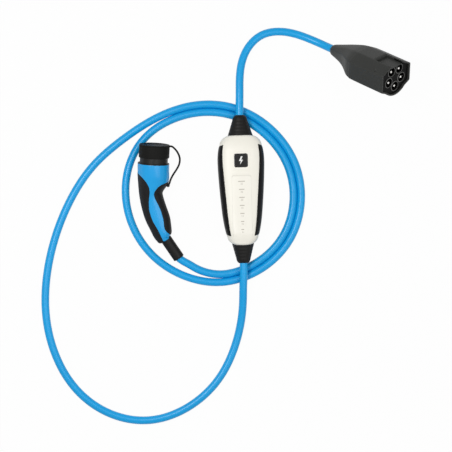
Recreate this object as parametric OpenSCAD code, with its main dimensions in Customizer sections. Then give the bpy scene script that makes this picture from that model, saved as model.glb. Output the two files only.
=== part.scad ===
// Portable charging unit for electric cars, laid out flat:
// a control box between a short supply lead with a five-pin connector and a long
// charge lead, coiled once and a half, with a seven-pole vehicle connector.
// Lengths are in millimetres. The box lies on its back, its length along Y.

/* [Control box] */
// length of the white housing without the strain reliefs
box_len = 240; // [225:1:265]
// greatest width of the housing over its side grips
box_w = 102; // [94:1:112]
// thickness of the housing from back to front
box_t = 64; // [60:1:72]
// wall of the two housing shells
wall = 3; // [2.4:0.1:3.6]
// depth of the groove that the side grips lie in
grip_t = 2.4; // [1.6:0.1:2.8]
// height of the side grips above the housing
grip_proud = 0.6; // [0.2:0.1:1.2]
// width and height of the badge tile
badge_w = 30.6; // [24:0.2:34]
// distance of the badge tile below the upper end of the housing
badge_drop = 55.6; // [50:0.2:62]
// width of the scale panel
panel_w = 43; // [30:1:44]
// length of the scale panel
panel_len = 135; // [110:1:140]
// number of current steps on the scale
step_count = 7; // [4:1:8]

/* [Strain reliefs] */
// length of the relief on the supply side
upper_relief_len = 45.1; // [36:0.1:48]
// length of the relief on the charge side
lower_relief_len = 42.3; // [34:0.1:46]
// width of the upper relief at the housing
upper_relief_w = 55.2; // [44:0.2:60]
// width of the lower relief at the housing
lower_relief_w = 48.4; // [40:0.2:54]
// number of ribs round each relief
rib_count = 4; // [2:1:5]

/* [Cables] */
// outer diameter of both leads
cable_d = 17.4; // [13:0.1:17.5]

/* [Vehicle connector] */
// diameter of the round head
head_d = 70; // [67:0.5:74]
// length of the handle from the front of the head to its lower end
gun_len = 174; // [160:1:185]
// diameter of the plug nose
nose_d = 62.8; // [60:0.1:63.4]
// reach of the nose in front of the head
nose_reach = 40.2; // [36:0.1:44]
// length of the dust cap
cap_len = 29; // [24:0.5:30]
// wall of the dust cap
cap_wall = 2.3; // [1.8:0.1:3]
// thickness of the soft grips on the handle
skin_t = 2.2; // [1.6:0.1:2.6]
// diameter of the bend relief at the end of the handle
boot_d = 22.8; // [21:0.1:24]
// free length of the bend relief
boot_len = 52; // [40:1:60]
// diameter of the strap that holds the dust cap
strap_d = 4.2; // [3:0.1:4.6]

/* [Supply connector] */
// width of the connector body
plug_w = 92; // [84:1:98]
// length of the connector from the cable to its rim
plug_len = 185; // [170:1:205]
// diameter of the circle of contact pins
pin_circle = 42; // [39:0.2:44]
// diameter of a contact pin
pin_d = 6; // [4:0.1:7]
// inner diameter of the well round each pin
well_d = 19; // [16:0.2:20]

/* [Fits] */
// gap between pieces that are fixed to each other
fit_gap = 0.2; // [0.1:0.05:0.3]
// gap all round between the dust cap and the nose
cap_gap = 0.5; // [0.3:0.05:0.8]

/* [Hidden] */
$fn = 48;

white = "#f1efe8";
black = "#262626";
soft_black = "#2d2f31";
grey = "#3c3d3b";
blue = "#1d94e0";
metal = "#c9ccd0";
brass = "#c8a45a";
green = "#2f6b45";

// overlap that fuses features of one piece
sink = 0.5;
// step that tells two rows of a skin apart
row_step = 3;

// Control box: places
box_total = box_len + upper_relief_len + lower_relief_len;
box_y1 = box_total / 2 - upper_relief_len;
box_y0 = box_y1 - box_len;
mid = box_t / 2;
// the widest place, the shoulders at both ends and how far they draw in
belly_y = box_y1 - 0.243 * box_len;
belly_sag = 0.22 * box_w;
belly_power = 1.5;
taper_up = 0.217 * box_len;
taper_low = 0.292 * box_len;
taper_power = 2;
corner_up = 0.157 * box_w;
corner_low = 0.128 * box_w;
shoulder_up = 0.14 * box_len;
shoulder_low = 0.1 * box_len;
shoulder_power = 1.7;
draw_up = 0.08 * box_w;
draw_low = 0.061 * box_w;
draw_up_t = 0.14 * box_t;
draw_low_t = 0.12 * box_t;
// roundness of a cross section: front half and rear half
round_front = 2 / 3.2;
round_rear = 2 / 4;
back_press = 1.05;
grip_ang = 49;
side_wall = grip_t + wall;
grip_y1 = box_y1 - 0.107 * box_len;
grip_y0 = box_y0 + 0.094 * box_len;
grip_slant = 5;

// Control box: screws, boards and their parts
boss_r = 4.5;
shank_r = 1.5;
screw_head_r = 3.1;
screw_head_h = 2.4;
screw_seat = 4.5;
screw_bite = 10;
screw_places = [[0.325 * box_w, belly_y + 0.05 * box_len], [-0.325 * box_w, belly_y + 0.05 * box_len],
    [0.245 * box_w, box_y0 + 0.135 * box_len], [-0.245 * box_w, box_y0 + 0.135 * box_len]];
board_t = 1.6;
board_z = wall + 11;
board_top = board_z + board_t;
board_w = 0.52 * box_w;
board_y0 = box_y0 + 0.18 * box_len;
board_y1 = box_y1 - 0.14 * box_len;
post_r = 3;
seal_w = 1.2;
seal_t = 1.6;
light_z = box_t - wall - 6;
light_h = 1.4;
light_w = 16;
panel_y1 = box_y1 - 0.369 * box_len;
panel_y0 = panel_y1 - panel_len;
scale_top = 13.2;
scale_end = 16;
step_y = panel_y1 - scale_top;
step_pitch = (panel_len - scale_top - scale_end) / (step_count - 1);
panel_t = 0.4;
badge_y = box_y1 - badge_drop;
badge_t = 1.8;
badge_r = 0.15 * badge_w;
badge_deep = 1.3;

// Strain reliefs
cable_r = cable_d / 2;
relief_tip_w = 2 * cable_r + 9.4;
relief_tip_t = 2 * cable_r + 6;
relief_base_t = 0.66 * box_t;
relief_nose = 5;
relief_ease = 0.18;
rib_deep = 0.4;
neck_r = cable_r + 6;
flange_r = neck_r + 3;
flange_t = 4;
cable_sink = 10;
// straight run of a lead outside its mouth
lead_out = 12;

// Vehicle connector: places
head_r = head_d / 2;
nose_r = nose_d / 2;
nose_wall = 3;
nose_back = 0.045 * gun_len;
nose_flat = 0.962 * nose_r;
head_wall = head_r - nose_r - 4 * fit_gap;
ring_t = 2;
carrier_r = nose_r - nose_wall - fit_gap;
carrier_front = nose_reach - 7;
power_r = 4.6;
power_bore = 3;
signal_r = 3.2;
signal_bore = 1.6;
contact_len = 34;
power_places = [[0, 0], [0, 17], [0, -17], [15, 8.7], [15, -8.7]];
signal_places = [[-14, 8.5], [-14, -8.5]];
cap_top = nose_reach + fit_gap + cap_wall;
cap_r = nose_r + cap_gap + cap_wall;
lug_r = 3.6;
lug_h = 10;
lug = [head_r - 0.6, -0.267 * gun_len];
boot_r = boot_d / 2;
boot_in = 18;
boot_at = [0.484 * head_d, -0.95 * gun_len, 0];
boot_ang = 36.7;
boot_dir = [sin(boot_ang), -cos(boot_ang), 0];
// lean in the plane of the floor and lift of the nose
gun_lean = 4.34;
gun_lift = 9;
gun_at = [-192.7, 60.6, head_r + 0.052 * gun_len];
gun_screw_at = [3, 5.5, 7];
gun_boss_r = 4;

// Sections of the handle from the head to its lower end. X is a share of the head's
// diameter, Y a share of the length: back point, front point, half thickness,
// then the shares of the width where the back grip ends and the front grip begins.
gun_stations = [
    [-0.5, 0, 0.5, 0, 0.5, -0.12, 1.3],
    [-0.493, -0.081, 0.507, -0.093, 0.493, -0.12, 1.3],
    [-0.479, -0.163, 0.514, -0.174, 0.471, 0.154, 1.22],
    [-0.457, -0.244, 0.471, -0.256, 0.414, 0.338, 0.784],
    [-0.429, -0.337, 0.336, -0.349, 0.357, 0.472, 0.67],
    [-0.386, -0.442, 0.343, -0.407, 0.321, 0.422, 0.659],
    [-0.3, -0.581, 0.457, -0.535, 0.307, 0.311, 0.742],
    [-0.171, -0.727, 0.586, -0.669, 0.307, 0.301, 0.738],
    [0, -0.855, 0.65, -0.802, 0.3, 0.386, 0.705],
    [0.129, -0.948, 0.664, -0.872, 0.271, 0.42, 0.879],
    [0.229, -0.994, 0.621, -0.916, 0.214, 0.45, 1.1]];
gun_rows = [0, 0.5, 1, 1.5, 1.75, 2, 2.25, 2.5, 2.75, 3, 3.5, 4, 4.5, 5, 5.5, 6, 6.5, 7, 7.5, 8, 8.5, 9,
    9.5, 10];
rear_grip_rows = [for (t = gun_rows) if (t >= 1.5) t];
front_grip_rows = [for (t = gun_rows) if (t >= 2.5 && t <= 9.5) t];
skin_proud = 0.3;
grip_cols = 3;
strip_cols = 12;

// Supply connector: half section seen from the front, as shares of its half width
plug_hw = plug_w / 2;
plug_lobe = 0.913;
plug_side = [[1, -0.467], [1, -0.15], [1, 0.15], [1, 0.435], [0.587, 0.663], [0.435, 0.739], [0.15, 0.739]];
plug_lobe_from = 317;
plug_lobe_steps = 8;
plug_mouth = (cable_r + 1.5) / plug_hw;
plug_rows = [[0, plug_mouth, 0], [0.03, plug_mouth + 0.07, 0], [0.12, 0.385, 0], [0.21, 0.49, 0.02],
    [0.3, 0.6, 0.1], [0.345, 0.72, 0.35], [0.385, 0.84, 0.6], [0.43, 0.92, 0.85], [0.5, 0.97, 1], [1, 1, 1]];
plug_wall = 4;
plug_deep = 26;
insert_t = 22;
rim_deep = 4;
well_deep = 19;
tube_wall = 1.3;
tube_h = 1.2;
deck_w = 0.42 * plug_w;
deck_deep = 6;
deck_len = 0.28 * plug_len;
peg_r = 1.8;
pin_angles = [for (k = [0:4]) 270 + 72 * k];
plug_turn = -29.7;
plug_lift = 36.6;
plug_roll = -48.5;
plug_at = [209.9, 302.3, 35.5];

// Routes of the leads on the floor: X, Y and the share of the end's height
cable_sides = 10;
supply_rings = 16;
charge_rings = 71;
floor_z = cable_r + sink;
charge_start = [[-2, -212, 0.88], [-4, -254, 0.5], [-10, -298, 0.14]];
charge_route = [[-22, -342], [-63, -421], [-131, -480], [-218, -507], [-305, -490], [-377, -436],
    [-422, -358], [-441, -270], [-437, -181], [-415, -93], [-379, -12], [-327, 61], [-259, 118],
    [-182, 164], [-94, 189], [-5, 178], [70, 130], [120, 54], [131, -33], [102, -118], [36, -180],
    [-51, -206], [-139, -186], [-210, -132], [-251, -52], [-254, 35], [-215, 113], [-139, 161],
    [-49, 170], [34, 137], [93, 70], [113, -16], [91, -101], [28, -164], [-55, -186]];
charge_end = [[-90, -181, 0.04], [-118, -169, 0.2]];
supply_route = [[1, 206, 0.95], [3, 252, 0.72], [16, 301, 0.38], [54, 340, 0.1], [104, 346, 0]];
plug_lead = [154, 331];

// Curves, skins and placing

// point at parameter t of a smooth curve through the points of p
function curve(p, t) = let (n = len(p), i = max(0, min(floor(t), n - 2)), f = t - i,
    a = p[max(i - 1, 0)], b = p[i], c = p[i + 1], d = p[min(i + 2, n - 1)])
    (2 * b + (c - a) * f + (2 * a - 5 * b + 4 * c - d) * f * f + (3 * b - a - 3 * c + d) * f * f * f) / 2;

function unit(v) = v / norm(v);
function power(v, e) = sign(v) * pow(abs(v), e);
function share(a, b, k, n) = k == 0 ? a : k == n ? b : a + (b - a) * k / n;
function backward(p) = [for (i = [len(p) - 1:-1:0]) p[i]];

// faces between rows of closed rings, n points in a ring; the columns of swap take the other diagonal
function side_faces(rows, n, swap) = [for (i = [0:rows - 2], j = [0:n - 1], k = [0, 1])
    let (a = i * n + j, b = i * n + (j + 1) % n, other = len(search(j, swap)) > 0)
    k == 0 ? (other ? [a, b, b + n] : [a, b, a + n]) : (other ? [a, b + n, a + n] : [b, b + n, a + n])];

// solid body between convex or star-shaped rings
module skin(rings) {
    n = len(rings[0]);
    m = len(rings);
    ends = [for (r = [rings[0], rings[m - 1]]) [for (p = r) 1 / n] * r];
    polyhedron(points = concat([for (r = rings) each r], ends), faces = concat(side_faces(m, n, []),
        [for (j = [0:n - 1]) [(j + 1) % n, j, m * n]],
        [for (j = [0:n - 1]) [(m - 1) * n + j, (m - 1) * n + (j + 1) % n, m * n + 1]]));
}

// walled body: each ring is an outer line and the same number of inner points, run backward
module walled_skin(rings, flip = false, swap = []) {
    n = len(rings[0]);
    m = len(rings);
    h = n / 2;
    last = (m - 1) * n;
    start = [for (j = [0:h - 2], k = [0, 1]) j < h / 2
        ? (k == 0 ? [j + 1, j, n - 1 - j] : [n - 2 - j, j + 1, n - 1 - j])
        : (k == 0 ? [j + 1, j, n - 2 - j] : [j, n - 1 - j, n - 2 - j])];
    end = [for (f = start) [last + f[1], last + f[0], last + f[2]]];
    faces = concat(side_faces(m, n, swap), start, end);
    polyhedron(points = [for (r = rings) each r], faces = flip ? [for (f = faces) backward(f)] : faces);
}

// round tube along a path of points; its first and last straight pieces carry rings at their points only
function tube_ring(p, dir, r, sides) = let (t = unit(dir), s = unit(cross(t, [0, 0, 1])), u = cross(s, t))
    [for (k = [0:sides - 1]) p + r * (cos(360 * k / sides - 90) * s + sin(360 * k / sides - 90) * u)];
module tube(path, r, sides, rings, straight = 0) {
    last = len(path) - 1;
    m = rings - 1 - 2 * straight;
    h = 0.02;
    places = concat([for (i = [0:1:straight - 1]) i],
        [for (i = [0:m]) straight + (last - 2 * straight) * i / m],
        [for (i = [straight - 1:-1:0]) last - i]);
    skin([for (t = places)
        tube_ring(curve(path, t), curve(path, min(t + h, last)) - curve(path, max(t - h, 0)), r, sides)]);
}

// bar along Y, cylinders stand on their first point
module along_y(r, h) {
    rotate([-90, 0, 0]) cylinder(r = r, h = h);
}

// Control box: outline and surface
function corner(r, e) = e < r ? r - sqrt(r * r - pow(r - max(0, e), 2)) : 0;
function half_w(y) = box_w / 2 - belly_sag * pow(abs(y - belly_y) / box_len, belly_power)
    - draw_up * pow(max(0, 1 - (box_y1 - y) / taper_up), taper_power) - corner(corner_up, box_y1 - y)
    - draw_low * pow(max(0, 1 - (y - box_y0) / taper_low), taper_power) - corner(corner_low, y - box_y0);
function half_t(y) = mid - draw_up_t * pow(max(0, 1 - (box_y1 - y) / shoulder_up), shoulder_power)
    - draw_low_t * pow(max(0, 1 - (y - box_y0) / shoulder_low), shoulder_power);

// point of the surface at angle a round the box, drawn in by in_w at the sides and in_t front and back
function box_point(y, a, in_w, in_t) = let (b = half_t(y) - in_t, front = sin(a) >= 0,
    e = front ? round_front : round_rear,
    z = front ? b * pow(sin(a), e) : -min(mid - in_t, back_press * b * pow(-sin(a), e)))
    [(half_w(y) - in_w) * power(cos(a), e), y, mid + z];

// height of the front at a point of the plan, drawn in by inset
function front_z(x, y, inset = 0) = mid + (half_t(y) - inset)
    * pow(1 - pow(abs(x) / (half_w(y) - inset), 2 / round_front), round_front / 2);

box_angles = concat([for (k = [0:3]) [grip_ang * k / 3, 1]],
    [for (k = [0:12]) [grip_ang + (180 - 2 * grip_ang) * k / 12, 0]],
    [for (k = [3:-1:0]) [180 - grip_ang * k / 3, 1]]);
function slant(a) = min(1, abs(sin(a)) / sin(grip_ang));

// rows of a shell: Y outside, Y inside, in the grip's groove, closed end, slanted end
box_rows = concat(
    [[box_y0, box_y0, 0, 1, 0]],
    [for (k = [1, 0]) [box_y0 + wall, box_y0 + wall, 0, k, 0]],
    [for (k = [0.4, 0.7]) let (y = box_y0 + k * (grip_y0 - grip_slant - box_y0)) [y, y, 0, 0, 0]],
    [[grip_y0, grip_y0 - 2 * row_step, 0, 0, -1], [grip_y0, grip_y0 - row_step, 1, 0, -1]],
    [for (k = [1:7]) let (y = grip_y0 + (grip_y1 - grip_y0) * k / 8) [y, y, 1, 0, 0]],
    [[grip_y1, grip_y1 + row_step, 1, 0, 1], [grip_y1, grip_y1 + 2 * row_step, 0, 0, 1]],
    [for (k = [0.7, 0.4]) let (y = box_y1 - k * (box_y1 - grip_y1 - grip_slant)) [y, y, 0, 0, 0]],
    [for (k = [0, 1]) [box_y1 - wall, box_y1 - wall, 0, k, 0]],
    [[box_y1, box_y1, 0, 1, 0]]);
// Y of the rows on the front
front_rows = [for (r = box_rows) r[0] + r[4] * grip_slant];
function box_ring(row, side) = concat(
    [for (a = box_angles) let (d = row[2] * a[1] * grip_t)
        box_point(row[0] + row[4] * grip_slant * slant(a[0]), side * a[0], d, d)],
    backward([for (a = box_angles) let (p = box_point(row[1], side * a[0], side_wall, wall))
        row[3] == 1 ? [p[0], p[1], mid] : p]));

module box_half(side) {
    walled_skin([for (r = box_rows) box_ring(r, side)], side < 0);
}

module neck_holes() {
    translate([0, box_y0 - sink, mid]) along_y(neck_r + fit_gap, wall + 2 * sink);
    translate([0, box_y1 - wall - sink, mid]) along_y(neck_r + fit_gap, wall + 2 * sink);
}

// the posts of the light board end inside the wall of the front
function post_top(y) = min(front_z(post_r, y - post_r), front_z(post_r, y + post_r)) - wall / 2;
module front_shell() {
    color(white) difference() {
        union() {
            box_half(1);
            for (p = screw_places)
                translate([p[0], p[1], mid])
                    cylinder(r = boss_r, h = front_z(abs(p[0]) + boss_r, p[1], grip_t + wall / 3) - mid);
            for (y = [panel_y0 + post_r, panel_y1 - post_r])
                translate([0, y, light_z + board_t])
                    cylinder(r = post_r, h = post_top(y) - light_z - board_t);
        }
        neck_holes();
        translate([0, badge_y, badge_z() - badge_deep]) badge_plan(badge_t + badge_deep);
        for (p = screw_places)
            translate([p[0], p[1], mid - sink])
                cylinder(r = shank_r + fit_gap / 2, h = screw_bite + sink + fit_gap);
    }
}

module rear_shell() {
    color(white) difference() {
        union() {
            box_half(-1);
            for (p = screw_places)
                translate([p[0], p[1], wall - sink]) cylinder(r = boss_r, h = mid - wall + sink);
            for (x = [-1, 1], y = [board_y0 + 2 * post_r, board_y1 - 2 * post_r])
                translate([x * (board_w / 2 - 2 * post_r), y, wall - sink])
                    cylinder(r = post_r, h = board_z - wall + sink);
        }
        neck_holes();
        seal_ring(seal_t + sink);
        for (p = screw_places) {
            translate([p[0], p[1], -sink]) cylinder(r = screw_head_r + fit_gap, h = screw_seat + sink);
            translate([p[0], p[1], 0]) cylinder(r = shank_r + fit_gap, h = box_t);
        }
    }
}

// the seal lies in a groove in the rim of the rear shell, along both sides between the reliefs
seal_rows = [for (k = [0:13]) box_y0 + 2 * wall + (box_len - 4 * wall) * k / 13];
function seal_line(side, inset) = [for (y = seal_rows) [side * (half_w(y) - inset), y]];
module seal_ring(tall) {
    inset = side_wall - wall / 2;
    translate([0, 0, mid - seal_t]) linear_extrude(tall) for (side = [-1, 1])
        polygon(concat(seal_line(side, inset - seal_w / 2), backward(seal_line(side, inset + seal_w / 2))));
}
module shell_seal() {
    color(black) seal_ring(seal_t);
}

// soft strip that wraps the side of the box; its inner facets match those of both shells
module side_grip(side) {
    edge = 1 - 0.008;
    angles = [for (k = [-3:3]) grip_ang * k / 3 * (abs(k) == 3 ? edge : 1)];
    rows = concat([[grip_y0, -1]], [for (k = [1:7]) [grip_y0 + (grip_y1 - grip_y0) * k / 8, 0]],
        [[grip_y1, 1]]);
    function line(r, inset) = [for (a = angles)
        box_point(r[0] + r[1] * (grip_slant * slant(a) - fit_gap), a, inset, inset)];
    front_cols = [7, 8, 9];
    color(soft_black) scale([side, 1, 1]) walled_skin([for (r = rows)
        concat(line(r, -grip_proud), backward(line(r, grip_t - fit_gap)))], false, front_cols);
}
module left_grip() {
    side_grip(-1);
}
module right_grip() {
    side_grip(1);
}

// printed film that follows the front
module scale_panel() {
    rows = concat([panel_y0], [for (y = front_rows) if (y > panel_y0 + sink && y < panel_y1 - sink) y],
        [panel_y1]);
    function film(y, up) = [for (k = [-8:8]) let (x = panel_w / 2 * k / 8) [x, y, front_z(x, y) + up]];
    color(white) walled_skin([for (y = rows) concat(backward(film(y, fit_gap + panel_t)), film(y, fit_gap))]);
}

function badge_z() = front_z(badge_w / 2, badge_y);
module badge_plan(h) {
    s = badge_w / 2 - badge_r;
    linear_extrude(h) union() {
        square([badge_w, 2 * s], center = true);
        square([2 * s, badge_w], center = true);
        for (x = [-s, s], y = [-s, s]) translate([x, y]) circle(r = badge_r);
    }
}
module badge_tile() {
    k = (badge_w - 2 * fit_gap) / badge_w;
    color(black) translate([0, badge_y, badge_z() - badge_deep]) scale([k, k, 1]) badge_plan(badge_t);
}

// rubber relief with ribs, its neck and flange held by the two shells
function relief_half(base, tip, u, len) = let (s = u / len, n = max(0, u - len + relief_nose) / relief_nose,
    rib = u > 0.12 * len && u < 0.8 * len ? rib_deep * pow(sin(180 * rib_count * (s - 0.12) / 0.68), 2) : 0)
    base + (tip - base) * s - rib - relief_ease * tip * n * n;
module relief(base_w, len) {
    steps = 5 * rib_count;
    rows = concat([0, 0.12 * len], [for (k = [1:steps]) len * (0.12 + 0.68 * k / steps)],
        [len - relief_nose, len - 0.4 * relief_nose, len]);
    difference() {
        union() {
            skin([for (u = rows) [for (k = [0:23])
                [relief_half(base_w / 2, relief_tip_w / 2, u, len) * cos(15 * k), u,
                relief_half(relief_base_t / 2, relief_tip_t / 2, u, len) * sin(15 * k)]]]);
            translate([0, -wall - flange_t, 0]) along_y(neck_r, wall + flange_t + sink);
            translate([0, -wall - flange_t - fit_gap, 0]) along_y(flange_r, flange_t);
        }
        translate([0, len - cable_sink, 0]) along_y(cable_r + fit_gap, cable_sink + sink);
    }
}
module upper_relief() {
    color(soft_black) translate([0, box_y1, mid]) relief(upper_relief_w, upper_relief_len);
}
module lower_relief() {
    color(soft_black) translate([0, box_y0, mid]) rotate([0, 0, 180])
        relief(lower_relief_w, lower_relief_len);
}

module housing_screws() {
    color(metal) for (p = screw_places)
        translate([p[0], p[1], screw_seat]) {
            translate([0, 0, -screw_head_h]) difference() {
                cylinder(r = screw_head_r, h = screw_head_h);
                translate([0, 0, -sink]) cylinder(r = shank_r, h = screw_head_h / 2 + sink, $fn = 6);
            }
            cylinder(r = shank_r, h = mid - screw_seat + screw_bite);
        }
}

module main_board() {
    color(green) difference() {
        translate([-board_w / 2, board_y0, board_z]) cube([board_w, board_y1 - board_y0, board_t]);
        for (p = screw_places)
            translate([p[0], p[1], 0]) cylinder(r = boss_r + 2 * fit_gap, h = box_t);
    }
}
relay = [0.2 * box_w, 0.12 * box_len, 22];
module relays() {
    color(black) for (x = [-1, 1])
        translate([x * 0.62 * relay[0] - relay[0] / 2, belly_y - 0.32 * box_len, board_top]) cube(relay);
}
module current_sensor() {
    color(grey) translate([0, belly_y - 0.07 * box_len, board_top]) difference() {
        cylinder(r = 0.36 * board_w, h = 15);
        translate([0, 0, -sink]) cylinder(r = 0.19 * board_w, h = 15 + 2 * sink);
    }
}
module terminal_blocks() {
    deep = 14;
    tall = 16;
    color(grey) for (y = [board_y0 + 0.02 * box_len, board_y1 - 0.02 * box_len - deep])
        difference() {
            translate([-0.4 * board_w, y, board_top]) cube([0.8 * board_w, deep, tall]);
            for (k = [-2:2])
                translate([0.15 * board_w * k, y + deep / 2, board_top + tall / 3]) cylinder(r = 2, h = tall);
        }
}
module light_board() {
    color(green) translate([-light_w / 2, panel_y0, light_z]) cube([light_w, panel_len, board_t]);
}
module light_row() {
    color(white) for (k = [0:step_count - 1])
        translate([-2, step_y - k * step_pitch - 2, light_z + board_t]) cube([4, 4, light_h]);
}

// Vehicle connector: section t of the handle
function gun_row(t) = curve(gun_stations, t);
function gun_grid(t, a, inset) = let (s = gun_row(t), back = [s[0] * head_d, s[1] * gun_len],
    front = [s[2] * head_d, s[3] * gun_len], c = (back + front) / 2, h = (front - back) / 2,
    k = 1 - inset / norm(h), p = c + h * k * cos(a))
    [p[0], p[1], (s[4] * head_d - inset) * sin(a)];
function edge_ang(share) = acos(2 * max(0, min(1, share)) - 1);
function back_edge(t) = edge_ang(gun_row(t)[5]);
function front_edge(t) = edge_ang(gun_row(t)[6]);
function gun_wall(t) = head_wall + (skin_t + wall - head_wall) * max(0, min(1, t - 1));
function gun_ring(t, side) = let (f = front_edge(t), b = back_edge(t), f_in = f > 0 ? skin_t : 0,
    b_in = b < 180 ? skin_t : 0,
    cols = concat([for (k = [0:grip_cols]) [share(0, f, k, grip_cols), f_in]],
        [for (k = [0:strip_cols]) [share(f, b, k, strip_cols), 0]],
        [for (k = [0:grip_cols]) [share(b, 180, k, grip_cols), b_in]]))
    concat([for (c = cols) gun_grid(t, side * c[0], c[1])],
        backward([for (c = cols) gun_grid(t, side * c[0], gun_wall(t))]));

module gun_place() {
    translate(gun_at) rotate([0, 0, -gun_lean]) rotate([gun_lift, 0, 0]) children();
}
function gun_point(p) = let (y = p[1] * cos(gun_lift) - p[2] * sin(gun_lift))
    gun_at + [p[0] * cos(gun_lean) + y * sin(gun_lean), y * cos(gun_lean) - p[0] * sin(gun_lean),
        p[1] * sin(gun_lift) + p[2] * cos(gun_lift)];

function gun_axis(t) = let (s = gun_row(t)) [(s[0] + s[2]) / 2 * head_d, (s[1] + s[3]) / 2 * gun_len, 0];
function gun_half_t(t) = gun_row(t)[4] * head_d;
module boot_bore() {
    translate(boot_at - boot_in * boot_dir) rotate([0, 0, boot_ang])
        rotate([90, 0, 0]) cylinder(r = boot_r + fit_gap, h = boot_in + boot_len);
}
module gun_half(side) {
    difference() {
        union() {
            walled_skin([for (t = gun_rows) gun_ring(t, side)], side > 0);
            for (t = gun_screw_at)
                translate(gun_axis(t) - [0, 0, side > 0 ? 0 : gun_half_t(t) - skin_t - wall / 2])
                    cylinder(r = gun_boss_r, h = gun_half_t(t) - skin_t - wall / 2);
        }
        boot_bore();
        for (t = gun_screw_at) {
            if (side < 0) {
                translate(gun_axis(t) - [0, 0, gun_half_t(t) + sink])
                    cylinder(r = screw_head_r + fit_gap, h = screw_seat + sink);
                translate(gun_axis(t) - [0, 0, gun_half_t(t)])
                    cylinder(r = shank_r + fit_gap, h = gun_half_t(t) + sink);
            } else {
                translate(gun_axis(t) - [0, 0, sink])
                    cylinder(r = shank_r + fit_gap / 2, h = screw_bite + sink + fit_gap);
            }
        }
    }
}
module gun_upper_shell() {
    color(blue) gun_place() gun_half(1);
}
module gun_lower_shell() {
    color(blue) gun_place() gun_half(-1);
}
module gun_screws() {
    color(metal) gun_place() for (t = gun_screw_at)
        translate(gun_axis(t) - [0, 0, gun_half_t(t) - screw_seat]) {
            translate([0, 0, -screw_head_h]) difference() {
                cylinder(r = screw_head_r, h = screw_head_h);
                translate([0, 0, -sink]) cylinder(r = shank_r, h = screw_head_h / 2 + sink, $fn = 6);
            }
            cylinder(r = shank_r, h = gun_half_t(t) - screw_seat + screw_bite);
        }
}

// soft skin on the back of the handle, from edge to edge round the back
function rear_skin(t, inset) = let (g = back_edge(t) + fit_gap, thin = g < 180 ? inset : -skin_proud / 3)
    [for (k = [-6:6]) gun_grid(t, 180 + max(0, 180 - g) * k / 6, inset < 0 ? inset : thin)];
module rear_grip() {
    color(soft_black) gun_place() walled_skin([for (t = rear_grip_rows)
        concat(rear_skin(t, -skin_proud), backward(rear_skin(t, skin_t - fit_gap)))], true);
}
// soft skin on the finger side, with the lug that holds the strap
function front_skin(t, inset) = let (g = front_edge(t) - fit_gap, thin = g > 0 ? inset : -skin_proud / 3)
    [for (k = [-6:6]) gun_grid(t, max(0, g) * k / 6, inset < 0 ? inset : thin)];
module front_grip() {
    color(soft_black) gun_place() union() {
        walled_skin([for (t = front_grip_rows)
            concat(front_skin(t, -skin_proud), backward(front_skin(t, skin_t - fit_gap)))], true);
        translate([lug[0], lug[1], -lug_h / 2]) cylinder(r = lug_r, h = lug_h);
    }
}

// round bar along the connector's axis, cut flat on the back side
module keyed_bar(r, flat, y0, y1) {
    difference() {
        translate([0, y0, 0]) along_y(r, y1 - y0);
        translate([-flat - 2 * r, y0 - sink, -2 * r]) cube([2 * r, y1 - y0 + 2 * sink, 4 * r]);
    }
}
module gun_nose() {
    color(black) gun_place() difference() {
        keyed_bar(nose_r, nose_flat, -nose_back, nose_reach);
        keyed_bar(nose_r - nose_wall, nose_flat - nose_wall, -nose_back - sink, nose_reach + sink);
    }
}
module head_ring() {
    color(black) gun_place() difference() {
        along_y(head_r - skin_proud, ring_t);
        keyed_bar(nose_r + fit_gap, nose_flat + fit_gap, -sink, ring_t + sink);
    }
}
module contact_carrier() {
    color(grey) gun_place() difference() {
        keyed_bar(carrier_r, nose_flat - nose_wall - fit_gap, -nose_back, carrier_front);
        translate([0, carrier_front - contact_len - sink, 0]) {
            for (p = power_places)
                translate([p[0], 0, p[1]]) along_y(power_r + fit_gap, contact_len + 2 * sink);
            for (p = signal_places)
                translate([p[0], 0, p[1]]) along_y(signal_r + fit_gap, contact_len + 2 * sink);
        }
    }
}
module sleeve(r, bore) {
    difference() {
        along_y(r, contact_len - sink);
        translate([0, contact_len / 3, 0]) along_y(bore, contact_len);
    }
}
module power_contacts() {
    color(brass) gun_place() for (p = power_places)
        translate([p[0], carrier_front - contact_len - sink, p[1]]) sleeve(power_r, power_bore);
}
module signal_contacts() {
    color(brass) gun_place() for (p = signal_places)
        translate([p[0], carrier_front - contact_len - sink, p[1]]) sleeve(signal_r, signal_bore);
}
module dust_cap() {
    color(black) gun_place() difference() {
        keyed_bar(cap_r, nose_flat + cap_gap + cap_wall, cap_top - cap_len, cap_top);
        keyed_bar(nose_r + cap_gap, nose_flat + cap_gap, cap_top - cap_len - sink, cap_top - cap_wall);
    }
}
// strap from the rim of the cap to the lug
strap_r = strap_d / 2;
strap_rings = 16;
strap_y = cap_top - strap_r - sink;
strap_drop = strap_y - lug[1] - lug_r;
strap_route = [[cap_r + fit_gap, 1], [cap_r + 4, 1], [head_r + 8, 0.966], [head_r + 15, 0.88],
    [head_r + 20.5, 0.765], [head_r + 22.6, 0.65], [head_r + 21.2, 0.52], [head_r + 16.5, 0.395],
    [head_r + 9.7, 0.255], [head_r + 4.8, 0.13], [lug[0] + 2.4, 0.005]];
module cap_strap() {
    path = [for (p = strap_route) [p[0], lug[1] + lug_r + strap_drop * p[1], 0]];
    color(black) gun_place() tube(path, strap_r, 8, strap_rings);
}
module bend_relief() {
    deep = 2 * cable_sink;
    color(soft_black) gun_place() translate(boot_at) rotate([90, 0, boot_ang]) difference() {
        translate([0, 0, -boot_in]) cylinder(r = boot_r, h = boot_in + boot_len);
        translate([0, 0, boot_len - deep]) cylinder(r = cable_r + fit_gap, h = deep + sink);
    }
}

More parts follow.
